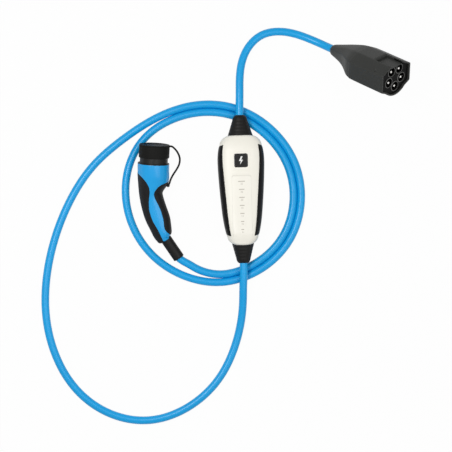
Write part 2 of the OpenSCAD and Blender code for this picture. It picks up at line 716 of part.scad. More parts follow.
// Supply connector: its own axis is Y, its rim at plug_len
module plug_place() {
    translate(plug_at) rotate([0, 0, plug_turn - 90]) rotate([plug_lift, 0, 0])
        rotate([0, plug_roll, 0]) children();
}
plug_axis = [cos(plug_turn) * cos(plug_lift), sin(plug_turn) * cos(plug_lift), sin(plug_lift)];
plug_plan = concat(plug_side, backward([for (p = plug_side) [-p[0], p[1]]]),
    [for (k = [0:plug_lobe_steps])
        let (a = 540 - plug_lobe_from + (2 * plug_lobe_from - 540) * k / plug_lobe_steps)
        plug_lobe * [cos(a), sin(a)]]);
function plug_ring(y, r, w, shrink) = [for (p = plug_plan)
    let (q = (1 - w) * r * unit(p) + w * p, s = q * plug_hw * (1 - shrink)) [s[0], y, s[1]]];
// hollow behind the insert: it keeps a wall below the deck and a ledge for the insert
function plug_hollow(y, r, w) = [for (p = plug_ring(y, r, w, 1.6 * plug_wall / plug_hw))
    [p[0], y, min(p[2], plug_side[6][1] * plug_hw - deck_deep - plug_wall)]];
module plug_housing() {
    in_k = plug_wall / plug_hw;
    seat = plug_len - plug_deep;
    color(grey) plug_place() difference() {
        skin(concat([for (r = plug_rows) plug_ring(r[0] * plug_len, r[1], r[2], 0)],
            [plug_ring(plug_len, 1, 1, in_k), plug_ring(seat, 1, 1, in_k), plug_hollow(seat, 1, 1)],
            [for (i = [8:-1:3]) plug_hollow(plug_rows[i][0] * plug_len, plug_rows[i][1], plug_rows[i][2])]));
        translate([-deck_w / 2, plug_len - deck_len, plug_side[6][1] * plug_hw - deck_deep])
            cube([deck_w, deck_len + sink, 2 * deck_deep]);
        translate([0, -sink, 0]) along_y(cable_r + fit_gap, cable_sink + sink);
    }
}
module plug_insert() {
    k = 1 - (plug_wall + fit_gap) / plug_hw;
    top = plug_side[6][1] * plug_hw - deck_deep - plug_wall;
    color(black) plug_place() translate([0, plug_len - plug_deep, 0]) difference() {
        union() {
            intersection() {
                rotate([90, 0, 0]) mirror([0, 0, 1]) linear_extrude(insert_t)
                    polygon(plug_plan * plug_hw * k);
                translate([-plug_w, -sink, -plug_w]) cube([2 * plug_w, insert_t + 2 * sink, plug_w + top]);
            }
            for (a = pin_angles)
                translate(pin_place(a)) along_y(well_d / 2 + tube_wall, insert_t + tube_h);
        }
        for (a = pin_angles)
            translate(pin_place(a) + [0, insert_t - well_deep, 0])
                along_y(well_d / 2, well_deep + tube_h + sink);
    }
}
function pin_place(a) = [pin_circle / 2 * cos(a), 0, pin_circle / 2 * sin(a)];
module plug_pins() {
    color(metal) plug_place() for (a = pin_angles)
        translate(pin_place(a) + [0, plug_len - plug_deep + insert_t - well_deep, 0]) union() {
            along_y(pin_d / 2, well_deep - pin_d / 2);
            translate([0, well_deep - pin_d / 2, 0]) rotate([-90, 0, 0])
                cylinder(r1 = pin_d / 2, r2 = pin_d / 3, h = pin_d / 2);
        }
}

// Cables
function laid(p, low, high) = [p[0], p[1], low + (high - low) * p[2]];
module supply_cable() {
    mouth = [0, box_y1 + upper_relief_len, mid];
    path = concat([for (k = [-cable_sink, 0, lead_out]) mouth + [0, k, 0]],
        [for (p = supply_route) laid(p, floor_z, mid)], [[plug_lead[0], plug_lead[1], floor_z + 2]],
        [for (k = [-lead_out, 0, cable_sink]) plug_at + k * plug_axis]);
    color(blue) tube(path, cable_r, cable_sides, supply_rings, 2);
}
module charge_cable() {
    mouth = [0, box_y0 - lower_relief_len, mid];
    boot_end = boot_at + boot_len * boot_dir;
    tip = gun_point(boot_end);
    out = tip - gun_point(boot_end - boot_dir);
    path = concat([for (k = [-cable_sink, 0, lead_out]) mouth - [0, k, 0]],
        [for (p = charge_start) laid(p, floor_z, mid)],
        [for (p = charge_route) laid([p[0], p[1], 0], floor_z, floor_z)],
        [for (p = charge_end) laid(p, floor_z, tip[2])],
        [for (k = [lead_out, 0, -2 * cable_sink]) tip + k * out]);
    color(blue) tube(path, cable_r, cable_sides, charge_rings, 2);
}

front_shell();
rear_shell();
shell_seal();
left_grip();
right_grip();
scale_panel();
badge_tile();
upper_relief();
lower_relief();
housing_screws();
main_board();
relays();
current_sensor();
terminal_blocks();
light_board();
light_row();
gun_upper_shell();
gun_lower_shell();
rear_grip();
front_grip();
gun_nose();
head_ring();
contact_carrier();
power_contacts();
signal_contacts();
dust_cap();
cap_strap();
bend_relief();
gun_screws();
plug_housing();
plug_insert();
plug_pins();
supply_cable();
charge_cable();
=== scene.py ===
import math

import bmesh
import bpy
import numpy as np
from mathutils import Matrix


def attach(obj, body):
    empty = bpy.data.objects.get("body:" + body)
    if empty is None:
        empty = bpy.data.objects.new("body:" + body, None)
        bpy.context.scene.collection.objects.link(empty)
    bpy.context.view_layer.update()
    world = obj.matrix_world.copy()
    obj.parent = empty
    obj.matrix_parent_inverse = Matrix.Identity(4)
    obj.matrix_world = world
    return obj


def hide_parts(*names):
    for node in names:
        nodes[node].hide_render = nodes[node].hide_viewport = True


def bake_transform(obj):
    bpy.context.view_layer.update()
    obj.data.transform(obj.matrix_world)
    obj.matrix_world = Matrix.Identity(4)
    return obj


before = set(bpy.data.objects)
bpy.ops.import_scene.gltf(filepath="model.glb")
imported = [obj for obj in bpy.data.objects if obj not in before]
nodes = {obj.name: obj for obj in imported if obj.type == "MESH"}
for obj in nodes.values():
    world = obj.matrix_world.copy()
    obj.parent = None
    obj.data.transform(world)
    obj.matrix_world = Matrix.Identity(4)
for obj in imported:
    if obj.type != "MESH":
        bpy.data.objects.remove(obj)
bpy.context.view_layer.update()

MM = 0.001

# Camera, floor and light.
# The photograph looks straight down on the laid-out charger from far away, over plain white paper.
# The camera stands 5 m up, turned by the small lean of the control box in the picture.
CAMERA_AT, CAMERA_TURN = (-36.7 * MM, -81.0 * MM, 5.0), -math.radians(1.54)
PHOTO_WIDTH, CABLE_HEIGHT = 1003 * MM, 8 * MM
SENSOR_WIDTH, SIGHT = 36.0, 50
scene = bpy.context.scene


def shown(name, data):
    """An object with that mesh, lamp, camera or text, added to the scene."""
    thing = bpy.data.objects.new(name, data)
    scene.collection.objects.link(thing)
    return thing


camera_data = bpy.data.cameras.new("camera")
camera_data.sensor_width = SENSOR_WIDTH
camera_data.lens = SENSOR_WIDTH * (CAMERA_AT[2] - CABLE_HEIGHT) / PHOTO_WIDTH
camera_data.clip_end = SIGHT
camera = shown("camera", camera_data)
camera.location = CAMERA_AT
camera.rotation_euler = (0, 0, CAMERA_TURN)
scene.camera = camera
scene.view_settings.view_transform = "Standard"


def linear(code):
    """sRGB hex to linear RGBA: a straight line up to 0.04045, and above it a power of 2.4."""
    c = np.array([int(code[i:i + 2], 16) for i in (1, 3, 5)]) / 255
    return (*np.where(c <= 0.04045, c / 12.92, ((c + 0.055) / 1.055) ** 2.4).tolist(), 1.0)


def put(tree, kind, sockets=None, **settings):
    """Adds a node with its settings; a socket gets a value, or a link where the value is (node, output)."""
    node = tree.nodes.new(kind)
    for name, value in settings.items():
        setattr(node, name, value)
    for name, value in (sockets or {}).items():
        if isinstance(value, tuple) and isinstance(value[0], bpy.types.Node):
            tree.links.new(value[0].outputs[value[1]], node.inputs[name])
        else:
            node.inputs[name].default_value = value
    return node


def bare_material(name):
    """A new material with an empty node tree."""
    material = bpy.data.materials.new(name)
    material.use_nodes = True
    material.node_tree.nodes.clear()
    return material, material.node_tree


PAPER, PAPER_BOUNCE = linear("#ffffff"), linear("#d8d8d8")
PAPER_LIGHT = 0.97


def white_paper():
    """Matt white paper that the camera, mirrors and clear pieces see as white, with a faint shadow."""
    material, tree = bare_material("Matt paper, white")
    path = put(tree, "ShaderNodeLightPath")
    seen = put(tree, "ShaderNodeMath", {0: (path, "Is Camera Ray"), 1: (path, "Is Glossy Ray")},
               operation="MAXIMUM")
    seen = put(tree, "ShaderNodeMath", {0: (seen, 0), 1: (path, "Is Transmission Ray")}, operation="MAXIMUM")
    share = put(tree, "ShaderNodeMath", {0: (seen, 0), 1: PAPER_LIGHT}, operation="MULTIPLY")
    matt = put(tree, "ShaderNodeBsdfDiffuse", {"Color": PAPER_BOUNCE})
    glow = put(tree, "ShaderNodeEmission", {"Color": PAPER, "Strength": 1.0})
    mix = put(tree, "ShaderNodeMixShader", {0: (share, 0), 1: (matt, 0), 2: (glow, 0)})
    put(tree, "ShaderNodeOutputMaterial", {"Surface": (mix, 0)})
    return material


FLOOR_HALF, FLOOR_LEVEL = 6.0, -0.0006
SQUARE = ((-1, -1), (1, -1), (1, 1), (-1, 1))
FLOOR_CORNERS = [(x * FLOOR_HALF, y * FLOOR_HALF, FLOOR_LEVEL) for x, y in SQUARE]
floor_mesh = bpy.data.meshes.new("floor")
floor_mesh.from_pydata(FLOOR_CORNERS, [], [(0, 1, 2, 3)])
floor_mesh.materials.append(white_paper())
floor = shown("floor", floor_mesh)

world = bpy.data.worlds.new("studio")
scene.world = world
world.use_nodes = True
sky_tree = world.node_tree
sky_tree.nodes.clear()
WORLD_LIGHT = 0.45
sky_path = put(sky_tree, "ShaderNodeLightPath")
sky_fill, sky_seen = (put(sky_tree, "ShaderNodeBackground", {"Color": PAPER, "Strength": strength})
                      for strength in (WORLD_LIGHT, 1.0))
sky = put(sky_tree, "ShaderNodeMixShader",
          {0: (sky_path, "Is Camera Ray"), 1: (sky_fill, 0), 2: (sky_seen, 0)})
put(sky_tree, "ShaderNodeOutputWorld", {"Surface": (sky, 0)})

# a soft box above the upper left and a larger, weaker one opposite, both turned to the origin
LAMPS = (("key", (-0.9, 0.35, 2.3), 0.7, 27), ("fill", (1.2, -0.3, 2.6), 2.0, 20))
for name, place, size, watts in LAMPS:
    lamp = bpy.data.lights.new(name, "AREA")
    lamp.size = size
    lamp.energy = watts
    lamp_object = shown(name, lamp)
    lamp_object.location = place
    x, y, z = place
    lamp_object.rotation_euler = (math.atan2(math.hypot(x, y), z), 0, math.atan2(-x, y) + math.pi)
    lamp_object.visible_camera = False

# Charge cable and supply cable.
# Five cores under a round jacket of extruded polyurethane, 17.4 mm thick, satin blue.
# Each is swept along its laid route, in the strain reliefs and connectors at both ends.
CABLE_R, CABLE_SIDES = 8.7, 28
FLOOR_Z = 9.2
MID = 32.0
BOX_TOP, BOX_END = 117.8, -121.4
UPPER_RELIEF, LOWER_RELIEF = 45.1, 42.3
CABLE_SINK, LEAD_OUT = 10.0, 12.0
CHARGE_START = [[-2, -212, 0.88], [-4, -254, 0.5], [-10, -298, 0.14]]
CHARGE_ROUTE = [[-22, -342], [-63, -421], [-131, -480], [-218, -507], [-305, -490], [-377, -436],
                [-422, -358], [-441, -270], [-437, -181], [-415, -93], [-379, -12], [-327, 61], [-259, 118],
                [-182, 164], [-94, 189], [-5, 178], [70, 130], [120, 54], [131, -33], [102, -118],
                [36.3, -179.4], [-51, -205.2], [-139, -186], [-210, -132], [-251, -52], [-254, 35],
                [-217, 113]]
# the inner turn lies against the outer one
CHARGE_INNER = [[-134.7, 163.6], [-87.0, 172.3], [-38.9, 169.4], [6.3, 154.5], [46.6, 128.1], [79.4, 93.1],
                [102.6, 51.3], [113.8, 5.0], [112.4, -43.0], [98.5, -88.8], [72.6, -128.3], [36.2, -159.3],
                [-7.3, -180.1], [-53.4, -187.6]]
CHARGE_END = [[-88, -181, 0.04], [-108, -171.8, 0.14], [-122, -163, 0.35]]
SUPPLY_ROUTE = [[1, 206, 0.95], [3, 252, 0.72], [16, 301, 0.38], [54, 340, 0.1], [104, 346, 0]]
SUPPLY_LEAD = [154, 331, FLOOR_Z + 2]

GUN_AT = np.array([-192.7, 60.6, 44.048])
GUN_LEAN, GUN_LIFT = math.radians(4.34), math.radians(9)
BOOT_AT = np.array([33.88, -165.3, 0])
BOOT_ANGLE = math.radians(36.7)
BOOT_AXIS = np.array([math.sin(BOOT_ANGLE), -math.cos(BOOT_ANGLE), 0])
BOOT_LEN = 53.5
HANDLE_RUN = [[23, -151, 0], [6, -97, 0], [-3, -60, 0]]
PLUG_RUN = 60.0
PLUG_AT = np.array([209.9, 302.3, 35.5])
PLUG_TURN, PLUG_LIFT, PLUG_ROLL = (math.radians(a) for a in (-29.7, 36.6, -48.5))


def spin(axis, angle):
    """Matrix that turns rows of points about X, Y or Z (0, 1 or 2): cosines, with sines off the diagonal."""
    i, j = (axis + 1) % 3, (axis + 2) % 3
    m = np.eye(3)
    m[i, i] = m[j, j] = math.cos(angle)
    m[i, j], m[j, i] = math.sin(angle), -math.sin(angle)
    return m


# connectors are drawn along Y, then lifted about X and turned about Z; the supply connector is rolled first
GUN_FRAME = spin(0, GUN_LIFT) @ spin(2, -GUN_LEAN)
PLUG_FRAME = spin(1, PLUG_ROLL) @ spin(0, PLUG_LIFT) @ spin(2, PLUG_TURN - math.pi / 2)
PLUG_AXIS = PLUG_FRAME[1]


def in_gun(p):
    """Points of the vehicle connector, turned and moved to their place."""
    return GUN_AT + np.asarray(p, float) @ GUN_FRAME


def through(p, spots):
    """Smooth curve through points: at each spot a cubic over four neighbours, which meets the middle two."""
    spots = np.asarray(spots, float)
    i = np.clip(np.floor(spots).astype(int), 0, len(p) - 2)
    f = (spots - i)[:, None]
    a, b, c, d = p[np.maximum(i - 1, 0)], p[i], p[i + 1], p[np.minimum(i + 2, len(p) - 1)]
    return (2 * b + (c - a) * f + (2 * a - 5 * b + 4 * c - d) * f ** 2 + (3 * b - a - 3 * c + d) * f ** 3) / 2


def eased(points, step):
    """Line through the points in even steps: a natural cubic spline over the way, so its bend never jumps."""
    p = np.asarray(points, float)
    slopes = np.diff(p, axis=0)
    h = np.linalg.norm(slopes, axis=1)
    slopes /= h[:, None]
    way = np.concatenate([[0], np.cumsum(h)])
    left, right = np.eye(len(p)), np.zeros_like(p)
    for k in range(1, len(p) - 1):
        left[k, k - 1:k + 2] = h[k - 1], 2 * (h[k - 1] + h[k]), h[k]
        right[k] = 6 * (slopes[k] - slopes[k - 1])
    bend = np.linalg.solve(left, right)
    s = np.linspace(0, way[-1], int(way[-1] / step))
    k = np.clip(np.searchsorted(way, s, "right") - 1, 0, len(p) - 2)
    a, b, w = (v[:, None] for v in ((way[k + 1] - s) / h[k], (s - way[k]) / h[k], h[k] ** 2 / 6))
    return a * p[k] + b * p[k + 1] + ((a ** 3 - a) * bend[k] + (b ** 3 - b) * bend[k + 1]) * w


def laid(points, low, high):
    """Route points with a share of height, from low to high."""
    p = np.asarray(points, float)
    return np.column_stack([p[:, :2], low + (high - low) * p[:, 2]])


def tube(line, radius, columns):
    """Round tube: each row is a circle across the line, and both ends close in a point."""
    along = np.gradient(line, axis=0)
    along /= np.linalg.norm(along, axis=1, keepdims=True)
    side = np.cross(along, [0.0, 0.0, 1.0])
    side /= np.linalg.norm(side, axis=1, keepdims=True)
    up = np.cross(side, along)
    angle = np.linspace(0, 2 * np.pi, columns + 1)[None, :, None]
    rows = line[:, None] + radius * (np.cos(angle) * side[:, None] + np.sin(angle) * up[:, None])
    first, last = (np.repeat(line[k][None, None], columns + 1, 1) for k in (0, -1))
    return np.concatenate([first, rows, last])


def surface(name, grids, material, sharp=40, core=None):
    """Mesh of quads between neighbouring points of one or more grids (rows, columns, xyz in mm).

    Faces turn away from the middle of their row, or from core. Points that meet are merged, so a row that
    shrinks to a point closes as a pole. The UV map is the way along rows and columns in metres."""
    grids = grids if isinstance(grids, list) else [grids]
    points, faces, uvs, base = [], [], [], 0
    for g in grids:
        m, n = g.shape[:2]
        at = base + np.arange(m * n).reshape(m, n)
        quads = np.stack([at[:-1, :-1], at[:-1, 1:], at[1:, 1:], at[1:, :-1]], -1).reshape(-1, 4)
        steps = (np.linalg.norm(np.diff(g, axis=k), axis=2).max(1 - k) for k in (0, 1))
        u, v = (np.concatenate([[0], np.cumsum(step)]) for step in steps)
        uv = np.stack(np.meshgrid(u, v, indexing="ij"), -1).reshape(-1, 2) * MM
        a, b, c, d = (g.reshape(-1, 3)[quads[:, i] - base] for i in range(4))
        inside = g.mean(1, keepdims=True) if core is None else np.asarray(core, float)
        inside = np.broadcast_to(inside, g.shape).reshape(-1, 3)[quads[:, 0] - base]
        if (np.cross(c - a, d - b) * ((a + b + c + d) / 4 - inside)).sum() < 0:
            quads = quads[:, ::-1]
        uvs.append(uv[quads.reshape(-1) - base])
        points.append(g.reshape(-1, 3) * MM)
        faces.append(quads)
        base += m * n
    mesh = bpy.data.meshes.new(name)
    mesh.from_pydata(np.concatenate(points).tolist(), [], np.concatenate(faces).tolist())
    mesh.uv_layers.new(name="UVMap").data.foreach_set("uv", np.concatenate(uvs).astype(np.float32).ravel())
    work = bmesh.new()
    work.from_mesh(mesh)
    bmesh.ops.remove_doubles(work, verts=work.verts, dist=2e-6)
    bmesh.ops.dissolve_degenerate(work, edges=work.edges, dist=1e-6)
    work.to_mesh(mesh)
    work.free()
    mesh.shade_smooth()
    mesh.set_sharp_from_angle(angle=math.radians(sharp))
    mesh.materials.append(material)
    return shown(name, mesh)


def coated(material, tree, sockets):
    """Closes a material with one shader of those values."""
    shader = put(tree, "ShaderNodeBsdfPrincipled", sockets)
    put(tree, "ShaderNodeOutputMaterial", {"Surface": (shader, 0)})
    return material


def noise(tree, vector, scale, detail):
    """Noise over a vector, at that scale."""
    return put(tree, "ShaderNodeTexNoise", {"Vector": vector, "Scale": scale, "Detail": detail})


def tone_between(tree, share, shade, colour):
    """Colour that goes from the shade to the colour with a noise."""
    sockets = {0: (share, "Fac"), 6: linear(shade), 7: linear(colour)}
    return put(tree, "ShaderNodeMix", sockets, data_type="RGBA")


JACKET_GLOSS, JACKET_BUMP, JACKET_DEPTH = (0.31, 0.36), 0.04, 0.0004


def cable_jacket():
    """Extruded polyurethane, satin: fine draw lines along it and a slow wave from the twisted cores."""
    material, tree = bare_material("Polyurethane jacket, blue")
    uv = put(tree, "ShaderNodeUVMap", uv_map="UVMap")
    # draw lines 0.8 mm apart round the jacket and 60 mm long
    lines = put(tree, "ShaderNodeMapping", {"Vector": (uv, 0), "Scale": (16, 1250, 1)})
    draw = noise(tree, (lines, 0), 1.0, 2.0)
    # five cores turn once in 180 mm and show as a faint wave, 36 mm from crest to crest
    lay = put(tree, "ShaderNodeMapping",
              {"Vector": (uv, 0), "Rotation": (0, 0, 0.27), "Scale": (8.7, 8.7, 1)})
    wave = put(tree, "ShaderNodeTexWave",
               {"Vector": (lay, 0), "Scale": 1.0, "Distortion": 1.5, "Detail": 1.0})
    height = put(tree, "ShaderNodeMath", {0: (wave, "Fac"), 1: (draw, "Fac")}, operation="ADD")
    bump = put(tree, "ShaderNodeBump",
               {"Height": (height, 0), "Strength": JACKET_BUMP, "Distance": JACKET_DEPTH})
    space = put(tree, "ShaderNodeTexCoord")
    slow = noise(tree, (space, "Object"), 9.0, 3.0)
    tone = tone_between(tree, slow, "#0698d8", "#0aa5e6")
    rough = put(tree, "ShaderNodeMapRange",
                {"Value": (draw, "Fac"), "To Min": JACKET_GLOSS[0], "To Max": JACKET_GLOSS[1]})
    return coated(material, tree, {"Base Color": (tone, 2), "Roughness": (rough, 0), "IOR": 1.5,
                                   "Normal": (bump, 0), "Specular IOR Level": 0.4})


jacket = cable_jacket()
boot_end = BOOT_AT + BOOT_LEN * BOOT_AXIS
boot_tip = in_gun(boot_end)
boot_out = boot_tip - in_gun(boot_end - BOOT_AXIS)
lower_end = np.array([0, BOX_END - LOWER_RELIEF, MID])
upper_end = np.array([0, BOX_TOP + UPPER_RELIEF, MID])
lower_run = [lower_end - [0, k, 0] for k in (-CABLE_SINK, 0, LEAD_OUT)]
upper_run = [upper_end + [0, k, 0] for k in (-CABLE_SINK, 0, LEAD_OUT)]
boot_run = [boot_tip + k * boot_out for k in (0, -2 * CABLE_SINK)]
plug_run = [PLUG_AT + k * PLUG_AXIS for k in (-LEAD_OUT, 0, CABLE_SINK, PLUG_RUN)]
coil_run = [[x, y, FLOOR_Z] for x, y in CHARGE_ROUTE + CHARGE_INNER]
charge_points = np.vstack([lower_run, laid(CHARGE_START, FLOOR_Z, MID), coil_run,
                           laid(CHARGE_END, FLOOR_Z, boot_tip[2]), boot_run, in_gun(HANDLE_RUN)])
supply_points = np.vstack([upper_run, laid(SUPPLY_ROUTE, FLOOR_Z, MID), SUPPLY_LEAD, plug_run])
LINE_STEP = 7.0
charge_line = eased(charge_points, LINE_STEP)
supply_line = eased(supply_points, LINE_STEP)
charge_cable = surface("charge_lead", tube(charge_line, CABLE_R, CABLE_SIDES), jacket)
supply_cable = surface("supply_lead", tube(supply_line, CABLE_R, CABLE_SIDES), jacket)
for lead, node in ((charge_cable, "charge_cable"), (supply_cable, "supply_cable")):
    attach(lead, "charger")
    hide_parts(node)


# Control box: front and rear shell.
# Two injection moulded halves of warm white polycarbonate blend, 2.8 mm thick, with a finely eroded surface.
# They meet halfway up and are held by four screws from the back.
BOX_W, BOX_T, BOX_LEN = 102.0, 64.0, 239.2
BELLY_Y = BOX_TOP - 0.243 * BOX_LEN
SHELL_WALL, SEAM_HALF, EDGE_R = 2.8, 0.15, 3.5
LOWER_BULGE, BULGE_REACH = 2.6, 30
FRONT_ROUND, REAR_ROUND, BACK_PRESS = 2 / 3.2, 2 / 4, 1.05
# share of the edge's inset that the width takes, and how far columns crowd to the corners
EDGE_PLAN, CROWD = 0.2, 0.55
# upper and lower end: shares of the depth that the shoulders take, of the width that tapers and corners
# take, and of the length that shoulders and tapers reach
SHOULDER_T, SHOULDER_REACH = (0.14, 0.12), (0.14, 0.1)
TAPER, TAPER_REACH, CORNER_R = (0.08, 0.061), (0.217, 0.292), (0.157, 0.128)
SIDE_FALL = 0.22


def drawn_in(y, shares, reaches, power):
    """Sum over both ends: a share, times a power of the way into the end's reach."""
    ends = zip((BOX_TOP - y, y - BOX_END), shares, reaches)
    return sum(share * np.maximum(0, 1 - e / (reach * BOX_LEN)) ** power for e, share, reach in ends)


def corner(r, e):
    """Draw-in of a round corner of radius r at the distance e from the end."""
    return r - np.sqrt(np.clip(r * r - (r - np.clip(e, 0, r)) ** 2, 0, None))


def half_width(y):
    """Half width: it falls with the power 1.5 of the way from the belly, with squared tapers and corners."""
    side = BOX_W / 2 - SIDE_FALL * BOX_W * (np.abs(y - BELLY_Y) / BOX_LEN) ** 1.5
    return (side - BOX_W * drawn_in(y, TAPER, TAPER_REACH, 2)
            - corner(CORNER_R[0] * BOX_W, BOX_TOP - y) - corner(CORNER_R[1] * BOX_W, y - BOX_END))


def half_depth(y):
    """Half thickness, less the shoulders, which draw in with a power of 1.7."""
    return MID - BOX_T * drawn_in(y, SHOULDER_T, SHOULDER_REACH, 1.7)


def box_point(y, angle, inset, plan=1.0):
    """Point of the box: a superellipse round the Y axis, rounder in front, pressed flat at the back.

    plan is the share of the inset that the width takes."""
    s, c = np.sin(angle), np.cos(angle)
    e = np.where(s >= 0, FRONT_ROUND, REAR_ROUND)
    b = half_depth(y) - inset
    front = b * np.abs(s) ** e
    back = -np.minimum(MID - inset, BACK_PRESS * b * np.abs(s) ** e)
    x = (half_width(y) - plan * inset) * np.sign(c) * np.abs(c) ** e
    return np.stack(np.broadcast_arrays(x, y, MID + np.where(s >= 0, front, back)), -1)


def front_height(x, y):
    """Height of the front over a point of the plan."""
    share = np.clip(1 - (np.abs(x) / half_width(y)) ** (2 / FRONT_ROUND), 0, 1)
    return MID + half_depth(y) * share ** (FRONT_ROUND / 2)


def bulged(p):
    """The lower end of the shells bows outwards in the middle, by a parabola over the width."""
    low = np.clip((BOX_END + BULGE_REACH - p[..., 1]) / BULGE_REACH, 0, 1) ** 2
    bow = np.clip(1 - (p[..., 0] / half_width(np.clip(p[..., 1], BOX_END + 3, BOX_TOP))) ** 2, 0, 1)
    p = p.copy()
    p[..., 1] -= LOWER_BULGE * low * bow
    return p


def half_shell(side):
    """One half: rows along Y with rounded ends that close to the middle, columns round the half section."""
    turn = np.linspace(0, np.pi / 2, 7)
    edge_y, edge_in = EDGE_R * (1 - np.sin(turn)), EDGE_R * (1 - np.cos(turn))
    inner = BOX_END + EDGE_R + (BOX_LEN - 2 * EDGE_R) * (0.5 - 0.5 * np.cos(np.linspace(0, np.pi, 90)))[1:-1]
    y = np.concatenate([BOX_END + edge_y[::-1], inner, BOX_TOP - edge_y])
    inset = np.concatenate([edge_in[::-1], np.zeros(len(inner)), edge_in])
    u = np.linspace(0, 1, 73)
    angle = np.pi * (u - CROWD * np.sin(4 * np.pi * u) / (4 * np.pi))
    rows = box_point(y[:, None], side * angle[None, :], inset[:, None], EDGE_PLAN)
    rows[:, [0, -1], 2] += side * SEAM_HALF
    ends = []
    for k, share in ((0, (0.0, 0.5)), (-1, (0.5, 0.0))):
        centre = np.array([0, rows[k, 0, 1], MID + side * SEAM_HALF])
        ends.append(np.stack([centre + s * (rows[k] - centre) for s in share]))
    return bulged(np.concatenate([ends[0], rows, ends[1]]))


DRIFT = 55


def moulded(name, colour, shade, grain, depth, rough, spread, ior=1.5, level=0.5, metal=0.0):
    """Moulded plastic or rubber: eroded grain of that size and depth in mm, slow drifts of tone and gloss."""
    material, tree = bare_material(name)
    space = put(tree, "ShaderNodeTexCoord")
    grit = noise(tree, (space, "Object"), 1 / (grain * MM), 2.0)
    slow = noise(tree, (space, "Object"), 1 / (DRIFT * MM), 4.0)
    tone = tone_between(tree, slow, shade, colour)
    mixed = put(tree, "ShaderNodeMath", {0: (grit, "Fac"), 1: (slow, "Fac")}, operation="MULTIPLY")
    gloss = put(tree, "ShaderNodeMapRange", {"Value": (mixed, 0), "From Min": 0.1, "From Max": 0.4,
                                             "To Min": rough - spread, "To Max": rough + spread})
    bump = put(tree, "ShaderNodeBump", {"Height": (grit, "Fac"), "Strength": 0.5, "Distance": depth * MM})
    return coated(material, tree, {"Base Color": (tone, 2), "Roughness": (gloss, 0), "IOR": ior,
                                   "Normal": (bump, 0), "Specular IOR Level": level, "Metallic": metal})


def final_mesh(thing):
    """The mesh of a piece with its modifiers, or of a text."""
    bpy.context.view_layer.update()
    return bpy.data.meshes.new_from_object(thing.evaluated_get(bpy.context.evaluated_depsgraph_get()))


def finish_mesh(piece):
    """Applies the piece's modifiers, so that its mesh is final."""
    final = final_mesh(piece)
    piece.modifiers.clear()
    piece.data = final


def walled(piece, thickness):
    """Gives a sheet its thickness in mm, inwards."""
    wall = piece.modifiers.new("wall", "SOLIDIFY")
    wall.thickness = thickness * MM
    wall.offset = -1
    finish_mesh(piece)


def cut(piece, tool):
    """Takes the tool's body out of the piece."""
    step = piece.modifiers.new("cut", "BOOLEAN")
    step.operation = "DIFFERENCE"
    step.solver = "EXACT"
    step.object = tool
    finish_mesh(piece)
    bpy.data.objects.remove(tool)


def turned(profile, columns=32):
    """Body of revolution round Z: the profile is (radius, z) in mm, rows along it, columns round it."""
    p = np.asarray(profile, float)
    a = np.linspace(0, 2 * np.pi, columns + 1)
    return np.stack([p[:, :1] * np.cos(a), p[:, :1] * np.sin(a), np.repeat(p[:, 1:], columns + 1, 1)], -1)


def drill(radius, low, high, columns=24):
    """Round body from low to high along Z, to cut a hole with."""
    return turned([(0, low), (radius, low), (radius, high), (0, high)], columns)


shell_white = moulded("Polycarbonate ABS, warm white, eroded", "#f0ede3", "#ebe8dc", 0.6, 0.02, 0.42, 0.05)
front_shell = surface("front_housing", half_shell(1), shell_white, core=(0, 0, MID))
rear_shell = surface("rear_housing", half_shell(-1), shell_white, core=(0, 0, MID))
SCREW_WELL_R, SCREW_SEAT = 3.3, 4.5
SCREW_ROWS = ((0.325, BELLY_Y + 0.05 * BOX_LEN), (0.245, BOX_END + 0.135 * BOX_LEN))
SCREW_PLACES = [(s * BOX_W * x, y) for x, y in SCREW_ROWS for s in (1, -1)]
for shell, node in ((front_shell, "front_shell"), (rear_shell, "rear_shell")):
    walled(shell, SHELL_WALL)
    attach(shell, "charger")
    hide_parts(node)
wells = [drill(SCREW_WELL_R, -2, SCREW_SEAT) + [x, y, 0] for x, y in SCREW_PLACES]
cut(rear_shell, surface("screw_wells", wells, shell_white))

# Side grips of the control box.
# Soft black thermoplastic rubber, moulded over the edge between the shells on both sides.
# They stand a little proud and end in slanted edges.
GRIP_ANGLE, GRIP_LEAN, GRIP_NARROW = math.radians(51.2), 0.085, 0.058
GRIP_TOP, GRIP_END, GRIP_SLANT = 92.9, -98.9, 5.0
GRIP_PROUD, GRIP_WALL = 0.7, 1.6
soft_black = moulded("Thermoplastic rubber, black", "#111111", "#0c0c0c", 0.5, 0.02, 0.45, 0.05, level=0.18)


def side_grip(side):
    """Strip round the side, with rounded edges: rows along Y, stretched with the sine of the angle to slanted
    ends. The angle that it covers grows towards the lower end, by a parabola."""
    v = np.linspace(-1, 1, 121)
    s = np.linspace(-1, 1, 41)
    edge = 1 - 0.5 * np.minimum(1, np.abs(v) ** 40)[:, None] - 0.5 * np.minimum(1, np.abs(s) ** 14)[None, :]
    angle = GRIP_ANGLE * (1 - GRIP_LEAN * v - GRIP_NARROW * v ** 2)[:, None] * s[None, :]
    slant = GRIP_SLANT * np.minimum(1, np.abs(np.sin(angle)) / math.sin(GRIP_ANGLE)) * np.abs(v[:, None]) ** 6
    y = (GRIP_TOP + GRIP_END) / 2 + (GRIP_TOP - GRIP_END) / 2 * v[:, None] + np.sign(v[:, None]) * slant
    p = box_point(y, angle, -GRIP_PROUD * edge + 0.02)
    p[..., 0] *= side
    return p


for side, name in ((-1, "left_grip"), (1, "right_grip")):
    grip = surface(name + "_pad", side_grip(side), soft_black, core=(0, 0, MID))
    walled(grip, GRIP_WALL)
    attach(grip, "charger")
    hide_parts(name)

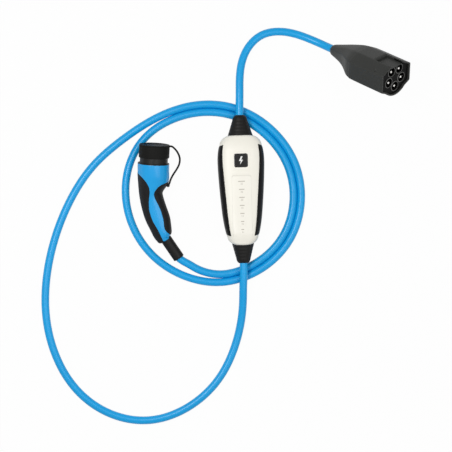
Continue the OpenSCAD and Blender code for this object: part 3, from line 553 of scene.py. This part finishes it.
# Strain reliefs of the control box.
# Black rubber cones moulded on the cables, ribbed so that they bend, with a rounded mouth.
# Their flanges are trapped between the shells.
RELIEF_TIP_W, RELIEF_TIP_T = 2 * CABLE_R + 9.4, 2 * CABLE_R + 6
RELIEF_BASE_T = 0.66 * BOX_T
RIBS, RIB_DEPTH, RIB_FROM, RIB_TO = 4, 0.25, 0.12, 0.8
RELIEF_NOSE, RELIEF_SINK, MOUTH_DRAW = 6.0, 2.0, 0.24
BORE_GAP, BORE_DEEP, RELIEF_COLUMNS = 0.2, 8, 65


def relief_half(base, tip, u, length):
    """Half size along the relief: a straight taper, less squared sines for the ribs and a rounded mouth."""
    ribbed = (u > RIB_FROM * length) & (u < RIB_TO * length)
    share = (u / length - RIB_FROM) / (RIB_TO - RIB_FROM)
    rib = np.where(ribbed, RIB_DEPTH * np.sin(np.pi * RIBS * share) ** 2, 0)
    mouth = np.maximum(0, u - length + RELIEF_NOSE) / RELIEF_NOSE
    return base + (tip - base) * u / length - rib - MOUTH_DRAW * tip * mouth ** 2


def relief(base_w, length, start, way):
    """Oval cone along Y with a bore for the cable."""
    u = np.concatenate([[-RELIEF_SINK], np.linspace(0, length - RELIEF_NOSE, 90),
                        length - RELIEF_NOSE * np.linspace(0.9, 0, 9)])
    w = relief_half(base_w / 2, RELIEF_TIP_W / 2, np.maximum(u, 0), length)
    t = relief_half(RELIEF_BASE_T / 2, RELIEF_TIP_T / 2, np.maximum(u, 0), length)
    bore = (CABLE_R + BORE_GAP) * np.array([1, 1, 0])
    w, t = (np.concatenate([[0], half, bore])[:, None] for half in (w, t))
    y = start + way * np.concatenate([[-RELIEF_SINK], u, length - np.array([0, BORE_DEEP, BORE_DEEP])])
    a = np.linspace(0, 2 * np.pi, RELIEF_COLUMNS)
    return np.stack([w * np.cos(a), np.repeat(y[:, None], RELIEF_COLUMNS, 1), MID + t * np.sin(a)], -1)


relief_black = moulded("Moulded rubber, black", "#161514", "#11100f", 0.4, 0.03, 0.5, 0.06, level=0.25)
# name, width at the box, length, start, direction
RELIEFS = (("upper_relief", 55.2, UPPER_RELIEF, BOX_TOP, 1),
           ("lower_relief", 48.4, LOWER_RELIEF, BOX_END, -1))
for name, base_w, length, start, way in RELIEFS:
    cone = surface(name + "_cone", relief(base_w, length, start, way), relief_black, sharp=50)
    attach(cone, "charger")
    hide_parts(name)

# Scale panel with its print.
# A thin polycarbonate film with rounded corners, glued over the row of lights, printed with
# seven grey bars and plain numbers for the charging current.
PANEL_W, PANEL_TOP, PANEL_END, PANEL_R = 43.0, 30.0, -105.0, 5
FILM_LIFT, FILM_T = 0.05, 0.04
PRINT_LIFT = FILM_LIFT + 0.06
BAR_HALF, NUMBER_SIZE = 0.8, 5.6
STEP_TOP, STEP_PITCH = 16.2, 17.63
BAR_WIDTHS = (14.9, 12.0, 11.6, 10.4, 9.2, 7.2, 6.3)
NUMBERS = ("32", "26", "20", "16", "13", "10", "6")


def rounded_plan(width, height, radius, rings, corner=9):
    """Rounded rectangle as rings from its middle to its edge: quarter circles with straight sides between."""
    middles = np.array([(1, 1), (-1, 1), (-1, -1), (1, -1)]) * (np.array([width, height]) / 2 - radius)
    turn = np.linspace(0, np.pi / 2, corner) + np.arange(4)[:, None] * np.pi / 2
    arcs = middles[:, None] + radius * np.stack([np.cos(turn), np.sin(turn)], -1)
    straight = np.linspace(0, 1, 24)[1:-1, None]
    edge = []
    for arc, after in zip(arcs, np.roll(arcs, -1, 0)):
        edge += [arc, arc[-1] + (after[0] - arc[-1]) * straight]
    return rings[:, None, None] * np.concatenate([*edge, arcs[0][:1]])


def raised(plan, y, heights):
    """A plan moved along Y, each of its rings at its own height."""
    z = np.broadcast_to(np.asarray(heights, float)[:, None], plan.shape[:2])
    return np.stack([plan[..., 0], plan[..., 1] + y, z], -1)


def on_front(plan, middle_y, lift):
    """Lays a flat plan on the front of the box at that height above it."""
    x, y = plan[..., 0], plan[..., 1] + middle_y
    return np.stack([x, y, front_height(x, y) + lift], -1)


# clear film with a matt hard coat over a white back print
film_white = moulded("Polycarbonate film, white back print", "#f1eee4", "#ece9de", 0.3, 0.006, 0.36, 0.04)
film_plan = rounded_plan(PANEL_W, PANEL_TOP - PANEL_END, PANEL_R, np.linspace(0, 1, 22))
film_grid = on_front(film_plan, (PANEL_TOP + PANEL_END) / 2, FILM_LIFT)
film = surface("scale_film", film_grid, film_white, core=(0, 0, 0))
walled(film, FILM_T)
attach(film, "charger")
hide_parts("scale_panel")


def print_ink(name, colour):
    """Screen print ink, matt, with the slight mottle of the mesh."""
    return moulded(name, colour, colour, 0.35, 0.004, 0.6, 0.05)


scale_ink = print_ink("Screen print ink, warm grey", "#aea79b")
bars = []
for k, width in enumerate(BAR_WIDTHS):
    x, y = np.meshgrid(np.linspace(-width / 2, width / 2, 9), np.linspace(-BAR_HALF, BAR_HALF, 3))
    bars.append(on_front(np.stack([x, y], -1), STEP_TOP - k * STEP_PITCH, PRINT_LIFT))
scale_bars = surface("scale_bars", bars, scale_ink, core=(0, 0, 0))
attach(scale_bars, "charger")


def figure(name, body, y):
    """A number as a flat mesh round the point at y, laid on the front point by point."""
    curve = bpy.data.curves.new(name, "FONT")
    curve.body = body
    curve.size = NUMBER_SIZE * MM
    curve.align_x = "CENTER"
    curve.align_y = "CENTER"
    letter = shown(name + "_curve", curve)
    mesh = final_mesh(letter)
    bpy.data.objects.remove(letter)
    flat = np.zeros(len(mesh.vertices) * 3)
    mesh.vertices.foreach_get("co", flat)
    plan = flat.reshape(-1, 3)[:, :2] / MM
    mesh.vertices.foreach_set("co", (on_front(plan, y, PRINT_LIFT) * MM).ravel())
    mesh.materials.clear()
    mesh.materials.append(scale_ink)
    mesh.update()
    return shown(name, mesh)


for k, number in enumerate(NUMBERS):
    digit = figure("scale_number_%d" % (k + 1), number, STEP_TOP - NUMBER_SIZE - k * STEP_PITCH)
    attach(digit, "charger")

# Badge tile.
# A square tile of gloss black acrylic with rounded corners, let into the front above the scale,
# with a plain white flash as the sign for electricity.
BADGE_W, BADGE_Y, BADGE_R, BADGE_RISE = 30.6, 62.0, 4.6, 0.55
# rings of the tile as shares of its size, and how far each falls away towards the edge
BADGE_RINGS = np.array([0, 0.4, 0.8, 0.955, 0.985, 1, 1])
BADGE_DROP = np.array([0, 0, 0, 0, 0.12, 0.5, 2.0])
badge_black = moulded("Acrylic, gloss black", "#161616", "#121212", 0.5, 0.003, 0.2, 0.03, ior=1.49)
badge_top = float(front_height(BADGE_W / 2, BADGE_Y)) + BADGE_RISE
badge_plan = rounded_plan(BADGE_W, BADGE_W, BADGE_R, BADGE_RINGS)
badge_grid = raised(badge_plan, BADGE_Y, badge_top - BADGE_DROP)
badge = surface("badge", badge_grid, badge_black, core=(0, BADGE_Y, 0))
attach(badge, "charger")
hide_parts("badge_tile")
FLASH = np.array([[[[0.2, 9], [3.8, 9]], [[-3.3, 1.4], [0.6, 1.4]]],
                  [[[-3.3, 1.4], [4.5, 1.4]], [[-4.5, -1.2], [2.9, -1.2]]],
                  [[[-0.4, -1.2], [2.9, -1.2]], [[-2.2, -9], [-2.0, -9]]]])
FLASH_LIFT = 0.05
flash = [raised(f, BADGE_Y, [badge_top + FLASH_LIFT] * 2) for f in FLASH]
flash_ink = print_ink("Screen print ink, white", "#e8e8e6")
flash_print = surface("badge_flash", flash, flash_ink, core=(0, BADGE_Y, 0))
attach(flash_print, "charger")

# Vehicle connector: handle shells.
# Two moulded halves of blue polyamide in the form of a pistol: a round head that runs into a curved handle.
# They meet in the connector's middle plane and are held by three screws from below.
HEAD_D, GUN_LEN = 70.0, 174.0
STATIONS = np.array([
    [-0.5, 0, 0.5, 0, 0.5, -0.12, 1.3], [-0.493, -0.081, 0.507, -0.093, 0.493, -0.12, 1.3],
    [-0.479, -0.163, 0.514, -0.174, 0.471, 0.154, 1.22], [-0.457, -0.244, 0.471, -0.256, 0.414, 0.338, 0.784],
    [-0.429, -0.337, 0.336, -0.349, 0.357, 0.472, 0.67], [-0.386, -0.442, 0.343, -0.407, 0.321, 0.422, 0.659],
    [-0.3, -0.581, 0.457, -0.535, 0.307, 0.311, 0.742], [-0.171, -0.727, 0.586, -0.669, 0.307, 0.301, 0.738],
    [0, -0.855, 0.65, -0.802, 0.3, 0.386, 0.705], [0.129, -0.948, 0.664, -0.872, 0.271, 0.42, 0.879],
    [0.229, -0.994, 0.621, -0.916, 0.214, 0.45, 1.1]])
LAST = len(STATIONS) - 1
END_ROUND, HANDLE_AHEAD = 5.0, np.array([0.53, -0.85])
END_TURN = np.linspace(0, np.pi / 2, 9)[1:]
# insets of the rows that close the head, and the groove where the halves meet
HEAD_INSETS, PARTING_DEPTH, PARTING_SHARP = [35, 4, 1.2, 0.35], 0.3, 24


def handle(t, angle, inset, past):
    """Section of the handle at station t: an oval between its back and front point, drawn in by inset.

    past moves the section on along the handle's last direction."""
    s = through(STATIONS, t)
    back, front = s[:, 0:2] * [HEAD_D, GUN_LEN], s[:, 2:4] * [HEAD_D, GUN_LEN]
    middle, half = (back + front) / 2, (front - back) / 2
    k = (1 - inset / np.linalg.norm(half, axis=1)[:, None])[..., None]
    p = middle[:, None] + half[:, None] * k * np.cos(angle)[..., None]
    z = (s[:, 4:5] * HEAD_D - inset) * np.sin(angle)
    return np.concatenate([p + past[..., None] * HANDLE_AHEAD, z[..., None]], -1)


def gun_body():
    """Closed body: rows along the stations, a rounded lower end, poles at both ends, a parting groove."""
    t = np.linspace(0, LAST, 141)
    rows_t = np.concatenate([[0, 0, 0, 0], t, np.full(9, LAST)])
    end = END_ROUND * (1 - np.cos(END_TURN))
    inset = np.concatenate([HEAD_INSETS, np.where(t < 0.04, 0.1, 0), end, [HEAD_D]])
    past = np.concatenate([np.zeros(145), END_ROUND * np.sin(END_TURN), [END_ROUND]])
    a = np.linspace(0, 2 * np.pi, 121)
    groove = np.exp(-(np.sin(a) * PARTING_SHARP) ** 2) * PARTING_DEPTH
    rows = handle(rows_t, np.broadcast_to(a, (len(rows_t), 121)), inset[:, None] + groove, past[:, None])
    rows[-1] = rows[-2].mean(0)
    rows[0] = rows[1].mean(0)
    return rows


gun_blue = moulded("Polyamide, blue, eroded", "#0aa4e8", "#0899dc", 0.5, 0.012, 0.31, 0.04, level=0.6)
gun_body_piece = surface("handle_shell", in_gun(gun_body()), gun_blue)
GUN_SCREWS = through(STATIONS, [3, 5.5, 7])
gun_wells = []
for s in GUN_SCREWS:
    x, y, depth = (s[0] + s[2]) / 2 * HEAD_D, (s[1] + s[3]) / 2 * GUN_LEN, s[4] * HEAD_D
    gun_wells.append(in_gun(drill(SCREW_WELL_R, -6, 2.4) + [x, y, -depth]))
cut(gun_body_piece, surface("handle_wells", gun_wells, gun_blue))
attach(gun_body_piece, "charger")
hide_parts("gun_upper_shell", "gun_lower_shell")

# Vehicle connector: soft grips of the handle.
# Black thermoplastic rubber moulded into hollows of the shells, one round the back of the handle
# and one on the finger side, which carries the peg for the cap's strap.
SKIN_PROUD, SKIN_WALL, SKIN_PAST = 0.4, 1.2, 1.5
dense = np.linspace(0, LAST, 2001)
back_share, front_share = through(STATIONS, dense)[:, 5:].T
grip_black = moulded("Thermoplastic rubber, black, handle", "#1b1b1c", "#151516", 0.5, 0.03, 0.52, 0.06,
                     level=0.22)


def skin(t, half_angle, middle, past, inset):
    """Sheet over the handle: rows along the stations, columns out to the edge angle on both sides."""
    s = np.linspace(-1, 1, 45)
    angle = middle + half_angle[:, None] * s
    edge = SKIN_PROUD * (1 - np.abs(s) ** 24)[None, :] + 0.02
    return handle(t, angle, inset[:, None] - edge, past[:, None])


def edge_angle(share):
    """Angle round the section at a share of the width between back and front."""
    return np.arccos(np.clip(2 * share - 1, -1, 1))


def rear_skin():
    """From the point where the grip starts on the head to a rounded end past the shells."""
    first = dense[np.argmax(back_share > 0)]
    t = first + (LAST - first) * np.linspace(0, 1, 120) ** 1.25
    rows = np.concatenate([t, np.full(len(END_TURN), LAST)])
    inset = np.concatenate([np.zeros(120), 0.9 * END_ROUND * (1 - np.cos(END_TURN))])
    past = np.concatenate([np.zeros(120), (END_ROUND + SKIN_PAST) * np.sin(END_TURN)])
    return skin(rows, np.pi - edge_angle(through(STATIONS, rows)[:, 5]), np.pi, past, inset)


def front_skin():
    """Between the two places where the grip's edge reaches the finger side."""
    inside = dense[front_share < 1]
    t = inside[0] + (inside[-1] - inside[0]) * (0.5 - 0.5 * np.cos(np.linspace(0, np.pi, 110)))
    return skin(t, edge_angle(through(STATIONS, t)[:, 6]), 0.0, np.zeros(110), np.zeros(110))


LUG, LUG_R, LUG_HALF = (34.4, -46.5), 3.6, 5
for name, grid in (("rear_grip", rear_skin()), ("front_grip", front_skin())):
    pad = surface(name + "_skin", in_gun(grid), grip_black)
    walled(pad, SKIN_WALL)
    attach(pad, "charger")
    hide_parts(name)
peg_side = [(LUG_R - 0.5, -LUG_HALF), (LUG_R, -4.4), (LUG_R, 4.4), (LUG_R - 0.5, LUG_HALF)]
peg = turned([(0, -LUG_HALF), *peg_side, (0, LUG_HALF)], 28) + [*LUG, 0]
strap_peg = surface("strap_peg", in_gun(peg), grip_black)
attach(strap_peg, "charger")

# Vehicle connector: nose, ring, dust cap and strap.
# The nose is a black polyamide tube with one flat; a thin ring closes the head round it.
# The cap is moulded from soft black rubber, and its strap is tied to the peg on the handle.
NOSE_R, NOSE_FLAT, NOSE_REACH = 31.4, 30.2, 40.2
NOSE_BORE, NOSE_SEAT, NOSE_BACK, NOSE_EDGE = 28.4, 33.2, -7.8, 0.8
RING_R, RING_TOP, RING_GAP, RING_EDGE = 34.8, 2.0, 0.2, 0.7
CAP_R, CAP_FLAT, CAP_TOP, CAP_LEN, CAP_WALL = 34.2, 33.0, 42.7, 29.0, 2.3


def round_y(profile, x, z, columns=32):
    """Body of revolution round a line along Y at (x, z): the profile is (radius, y)."""
    return turned(profile, columns)[..., [0, 2, 1]] + [x, 0, z]


def keyed(profile, flat_share):
    """Body round Y with one flat towards -X, where X stops at a share of the profile's radius."""
    body = round_y(profile, 0, 0, 96)
    body[..., 0] = np.maximum(body[..., 0], -flat_share * np.asarray(profile)[:, :1])
    return body


def rounded_edge(r, y, size):
    """Quarter circle from the side wall to the end face, as (radius, y) points."""
    q = np.linspace(0, np.pi / 2, 6)
    return [(r - size * (1 - math.cos(k)), y - size * (1 - math.sin(k))) for k in q]


cap_black = moulded("Ethylene rubber, black", "#1e1e1d", "#181817", 0.5, 0.02, 0.55, 0.06, level=0.07)
rim = CAP_TOP - CAP_LEN
cap_in, cap_roof = CAP_R - CAP_WALL, CAP_TOP - CAP_WALL
cap_profile = [(0, cap_roof), (cap_in, cap_roof), (cap_in, rim + 0.5), (CAP_R - 1.9, rim), (CAP_R - 1.2, rim),
               (CAP_R - 0.1, rim + 1.6), (CAP_R, rim + 2.2), (CAP_R, CAP_TOP - 3.4),
               (CAP_R - 0.35, CAP_TOP - 3.1), (CAP_R - 0.35, CAP_TOP - 2.7), (CAP_R, CAP_TOP - 2.4),
               *rounded_edge(CAP_R, CAP_TOP, 1.0),
               (CAP_R - 6, CAP_TOP), (CAP_R - 6.4, CAP_TOP - 0.2), (0, CAP_TOP - 0.2)]
dust_cap = surface("dust_cap_cup", in_gun(keyed(cap_profile, CAP_FLAT / CAP_R)), cap_black, sharp=32)
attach(dust_cap, "cap")
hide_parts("dust_cap")

nose_black = moulded("Polyamide, black", "#1b1b1b", "#161616", 0.4, 0.015, 0.4, 0.05, level=0.3)
nose_profile = [(NOSE_BORE, NOSE_SEAT), (NOSE_BORE, NOSE_REACH - NOSE_EDGE),
                *rounded_edge(NOSE_BORE, NOSE_REACH, -NOSE_EDGE),
                *rounded_edge(NOSE_R, NOSE_REACH, NOSE_EDGE)[::-1],
                (NOSE_R, 6), (NOSE_R, NOSE_BACK), (NOSE_BORE, NOSE_BACK), (NOSE_BORE, NOSE_SEAT)]
nose = surface("nose_tube", in_gun(keyed(nose_profile, NOSE_FLAT / NOSE_R)), nose_black, sharp=32)
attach(nose, "charger")
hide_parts("gun_nose")
ring_in = NOSE_R + RING_GAP
ring_profile = [(ring_in, -0.1), (ring_in, RING_TOP - 0.4), (ring_in + 0.4, RING_TOP),
                *rounded_edge(RING_R, RING_TOP, RING_EDGE)[::-1], (RING_R, -0.1), (ring_in, -0.1)]
ring = surface("head_trim", in_gun(keyed(ring_profile, 1.0)), nose_black, sharp=32)
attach(ring, "charger")
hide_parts("head_ring")

STRAP_R = 2.1
STRAP = np.array([[34.2, 1], [38.2, 1], [43, 0.966], [50, 0.88], [55.5, 0.765], [57.6, 0.65], [56.2, 0.52],
                  [51.5, 0.395], [44.7, 0.255], [39.8, 0.13], [36.8, 0.005]])
strap_top, strap_low = CAP_TOP - STRAP_R - 0.5, LUG[1] + LUG_R
strap_y = strap_low + (strap_top - strap_low) * STRAP[:, 1]
strap_points = np.column_stack([STRAP[:, 0], strap_y, np.zeros(len(STRAP))])
strap_points = np.vstack([strap_points[0] - [6, 0, 0], strap_points, [*LUG, 0]])
strap_line = through(strap_points, np.linspace(0, len(strap_points) - 1, 90))
strap = surface("strap", in_gun(tube(strap_line, STRAP_R, 20)), cap_black)
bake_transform(strap)
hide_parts("cap_strap")

# Vehicle connector: bend relief.
# A plain sleeve of black rubber over the cable where it leaves the handle.
BOOT_R, BOOT_WIDE, BOOT_IN, BOOT_EDGE, BOOT_BORE = 11.4, 1.1, 18.0, 1.2, 12


def boot():
    """Turned sleeve along its axis, a little wider than high, with a soft edge and a bore for the cable."""
    bore = CABLE_R + BORE_GAP
    profile = [(0, -BOOT_IN), (BOOT_R, -BOOT_IN), (BOOT_R, 4), (BOOT_R, 20), (BOOT_R, 40),
               *rounded_edge(BOOT_R, BOOT_LEN, BOOT_EDGE),
               (bore, BOOT_LEN), (bore, BOOT_LEN - BOOT_BORE), (0, BOOT_LEN - BOOT_BORE)]
    side = np.cross(BOOT_AXIS, [0, 0, 1])
    return BOOT_AT + turned(profile, 48) @ np.array([BOOT_WIDE * side, [0, 0, 1], BOOT_AXIS])


boot_piece = surface("bend_sleeve", in_gun(boot()), relief_black, sharp=50)
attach(boot_piece, "charger")
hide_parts("bend_relief")

# Supply connector: housing.
# Glass-filled polyamide, dark grey and matt: a round tail that swells into an eight-sided body with a round
# lobe below, and a stepped deck on top where the mating part's latch slides in.
PLUG_W, PLUG_LEN = 92.0, 185.0
PLUG_HALF = PLUG_W / 2
PLUG_SIDE = [[1, -0.467], [1, -0.15], [1, 0.15], [1, 0.435], [0.587, 0.663], [0.435, 0.739], [0.15, 0.739]]
LOBE_R, LOBE_FROM, PLUG_CORNER, CORNER_REACH = 0.913, 317, 0.06, 0.45
# along the length: share of it, radius of the circle, share of the outline, sideways bow in mm
PLUG_ROWS = np.array([[0, 0.222, 0, 0], [0.03, 0.24, 0.07, -0.3], [0.11, 0.25, 0.2, -1.6],
                      [0.19, 0.25, 0.35, -3], [0.27, 0.25, 0.52, -3.4], [0.34, 0.25, 0.7, -2.4],
                      [0.4, 0.25, 0.86, -1], [0.46, 0.25, 0.95, -0.2], [0.54, 0.25, 0.99, 0], [1, 1, 1, 0]])
PLUG_WALL, PLUG_DEEP, RIM_EDGE = 4.0, 26.0, 0.8
DECK_W, DECK_DEEP, DECK_LEN = 0.42 * PLUG_W, 6.0, 44.0


def in_plug(p):
    """Points of the supply connector, turned and moved to their place."""
    return PLUG_AT + p @ PLUG_FRAME


def plug_outline():
    """Section of the body as shares of its half width: side points, their mirror and the lobe's arc.

    Each corner is cut round by a curve of the second degree."""
    side = np.array(PLUG_SIDE)
    arc = np.radians(540 - LOBE_FROM + (2 * LOBE_FROM - 540) * np.arange(0, 9) / 8)
    raw = np.concatenate([side, (side * [-1, 1])[::-1], LOBE_R * np.stack([np.cos(arc), np.sin(arc)], -1)])
    start, end = (raw + way * np.minimum(PLUG_CORNER / np.linalg.norm(way, axis=1), CORNER_REACH)[:, None]
                  for way in (np.roll(raw, 1, 0) - raw, np.roll(raw, -1, 0) - raw))
    q = np.linspace(0, 1, 5)[None, :, None]
    fine = (1 - q) ** 2 * start[:, None] + 2 * q * (1 - q) * raw[:, None] + q ** 2 * end[:, None]
    fine = fine.reshape(-1, 2)
    return np.concatenate([fine, fine[:1]])


def plug_rings(outline, y, radius, blend, shrink=0.0):
    """Sections along the axis that go over from a circle of that radius to the outline."""
    circle = outline / np.linalg.norm(outline, axis=1, keepdims=True)
    values = np.broadcast_arrays(y, radius, blend, shrink)
    y, radius, blend, shrink = (np.asarray(v, float).reshape(-1, 1) for v in values)
    q = ((1 - blend) * radius)[..., None] * circle + blend[..., None] * outline
    q = q * PLUG_HALF * (1 - shrink)[..., None]
    return np.stack([q[..., 0], np.broadcast_to(y, q.shape[:2]), q[..., 1]], -1)


def plug_body():
    """Closed cup: the tail's pole, the loft, a rounded rim, the recess for the insert and its floor.

    The tail bows a few millimetres to the side that the deck is on, by the last value of each row."""
    outline = plug_outline()
    rows = through(PLUG_ROWS, np.linspace(0, 9, 91))
    y, r, w = rows[:, 0] * PLUG_LEN, np.clip(rows[:, 1], 0, 1), np.clip(rows[:, 2], 0, 1)
    y[-1] -= RIM_EDGE
    wall = PLUG_WALL / PLUG_HALF
    loft = plug_rings(outline, y, r, w)
    loft[..., 0] += rows[:, 3:] * math.cos(PLUG_ROLL)
    loft[..., 2] += rows[:, 3:] * math.sin(PLUG_ROLL)
    tail = plug_rings(outline, 0, 0.0, 0)
    rim = plug_rings(outline, PLUG_LEN - np.array([0.25, 0, 0, 0.3, PLUG_DEEP, PLUG_DEEP]), 1, 1,
                     np.array([0.006, 0.018, wall - 0.012, wall, wall, 1]))
    return np.concatenate([tail, loft, rim])


plug_grey = moulded("Glass-filled polyamide, dark grey", "#323331", "#2a2b29", 0.7, 0.03, 0.5, 0.06,
                    level=0.35)
plug_body_piece = surface("plug_body", in_plug(plug_body()), plug_grey, sharp=35)
deck_top = PLUG_SIDE[6][1] * PLUG_HALF
deck_base = deck_top - DECK_DEEP


def deck_block(width, length, radius, ahead, first, last):
    """Block on the deck between two heights, with corners rounded in plan."""
    plan = rounded_plan(width, length, radius, np.array([0, 1, 1, 0]), 5)
    return in_plug(raised(plan, PLUG_LEN - DECK_LEN / 2 + ahead, [first, first, last, last]))


deck_space = deck_block(DECK_W, DECK_LEN + 20, 1.5, 10, deck_base, deck_top + 12)
cut(plug_body_piece, surface("deck_space", deck_space, plug_grey))
# a small blind hole in the chamfer beside the deck
CHAMFER_HOLE, CHAMFER_HOLE_R = np.array([42.2, 160.3, 22.1]), 1.3
CHAMFER_OUT, CHAMFER_ALONG = np.array([0.484, 0, 0.876]), np.array([0.876, 0, -0.484])
hole_axes = np.array([CHAMFER_ALONG, [0, 1, 0], CHAMFER_OUT])
hole = CHAMFER_HOLE + drill(CHAMFER_HOLE_R, -3, 3, 16) @ hole_axes
cut(plug_body_piece, surface("chamfer_hole", in_plug(hole), plug_grey))
# a thin plate closes the deck's floor over the insert
deck_plate = deck_block(DECK_W - 0.4, DECK_LEN - 0.6, 1.0, -0.1, deck_base + 0.3, deck_base - 0.6)
deck_floor = surface("deck_floor", deck_plate, plug_grey)
for piece in (plug_body_piece, deck_floor):
    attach(piece, "charger")
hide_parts("plug_housing")

# Supply connector: contact insert and pins.
# The insert is moulded from black polyester and holds five silver-plated brass pins, each in a round well
# with a thin lip; the lips are painted a lighter grey as a highlight along their edges.
LIP_R, PIN_R, PIN_CIRCLE, PIN_LEN, INSERT_T = 10.2, 3.0, 21.0, 19.0, 22.0
DOME_R, DOME_T = 1.2, 1.6
FACE_Y = PLUG_LEN - PLUG_DEEP + INSERT_T
PIN_ANGLES = np.radians(270 + 72 * np.arange(5))
# darker than the other black plastics: the insert's own black with painted shade of the deep recess
insert_black_and_recess_shade = moulded("Polyester, black", "#0a0a0a", "#070707", 0.5, 0.02, 0.55, 0.05, level=0.1)
# the lips' lighter grey is a painted highlight where their edges catch the light
lip_highlight_grey = moulded("Polyester, black, lip lightened as painted highlight", "#636361", "#585856", 0.5, 0.02, 0.4, 0.05)


def pin_profile():
    """Straight pin with a domed tip."""
    q = np.linspace(0, np.pi / 2, 7)
    base = FACE_Y - PIN_LEN
    dome = [(PIN_R - DOME_R * (1 - math.cos(k)), FACE_Y - DOME_T * (1 - math.sin(k))) for k in q]
    return [(0, base), (PIN_R, base), (PIN_R, FACE_Y - 3), *dome, (0, FACE_Y + 0.1)]


LIP = ((0, -0.5), (0, 1), (0.25, 1.25), (1.15, 1.25), (1.4, 1), (1.4, -0.5), (0, -0.5))
lip_profile = [(LIP_R + r, FACE_Y + y) for r, y in LIP]
places = [(PIN_CIRCLE * math.cos(a), PIN_CIRCLE * math.sin(a)) for a in PIN_ANGLES]


def silver_plate():
    """Silver-plated brass: bright metal with fine turning marks and a faint warm tarnish."""
    material, tree = bare_material("Silver-plated brass")
    space = put(tree, "ShaderNodeTexCoord")
    marks = noise(tree, (space, "Object"), 1 / (0.4 * MM), 2.0)
    tone = tone_between(tree, marks, "#e4e2dc", "#f4f3f0")
    rough = put(tree, "ShaderNodeMapRange", {"Value": (marks, "Fac"), "To Min": 0.2, "To Max": 0.34})
    return coated(material, tree, {"Base Color": (tone, 2), "Metallic": 1.0, "Roughness": (rough, 0)})


silver = silver_plate()
pins = surface("supply_pins", [in_plug(round_y(pin_profile(), x, z)) for x, z in places], silver, sharp=50)
# the two upper lips are flat where the deck lies over them
lip_rings = [round_y(lip_profile, x, z, 48) for x, z in places]
for lip_ring in lip_rings:
    lip_ring[..., 2] = np.minimum(lip_ring[..., 2], deck_base + 0.2)
# lips in the lighter grey: painted highlight round the wells
lips = surface("well_lips", [in_plug(r) for r in lip_rings], lip_highlight_grey, sharp=50)
for piece, slot in ((pins, "contact_metal"), (lips, "insert_dark")):
    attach(piece, "charger")
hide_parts("plug_pins")

# Pieces inside, and small metal parts.
# The boards, relays, sensor, terminals, contacts, seal and screws keep their solids and get their own finish.
steel = moulded("Stainless steel, turned", "#b9bab9", "#a9aaa9", 0.5, 0.005, 0.32, 0.05, metal=1.0)
mask_green = moulded("Glass epoxy board, green mask", "#2c6a46", "#24583a", 0.8, 0.01, 0.35, 0.05)
case_black = moulded("Polyester case, black", "#232323", "#1c1c1c", 0.6, 0.02, 0.5, 0.05)
case_grey = moulded("Polyamide, dark grey", "#494b4d", "#3f4143", 0.6, 0.02, 0.5, 0.05)
lens_clear = moulded("Epoxy lens, milky", "#e9edec", "#dde2e1", 0.6, 0.01, 0.25, 0.03)
seal_black = moulded("Silicone foam, black", "#232323", "#1a1a1a", 0.8, 0.05, 0.7, 0.05)
FINISHES = ((steel, ("housing_screws", "gun_screws")), (mask_green, ("main_board", "light_board")),
            (case_black, ("relays",)), (case_grey, ("current_sensor", "terminal_blocks", "contact_carrier")),
            (lens_clear, ("light_row",)), (seal_black, ("shell_seal",)),
            (silver, ("power_contacts", "signal_contacts")), (insert_black_and_recess_shade, ("plug_insert",)))
for material, names in FINISHES:
    for name in names:
        nodes[name].data.materials.clear()
        nodes[name].data.materials.append(material)
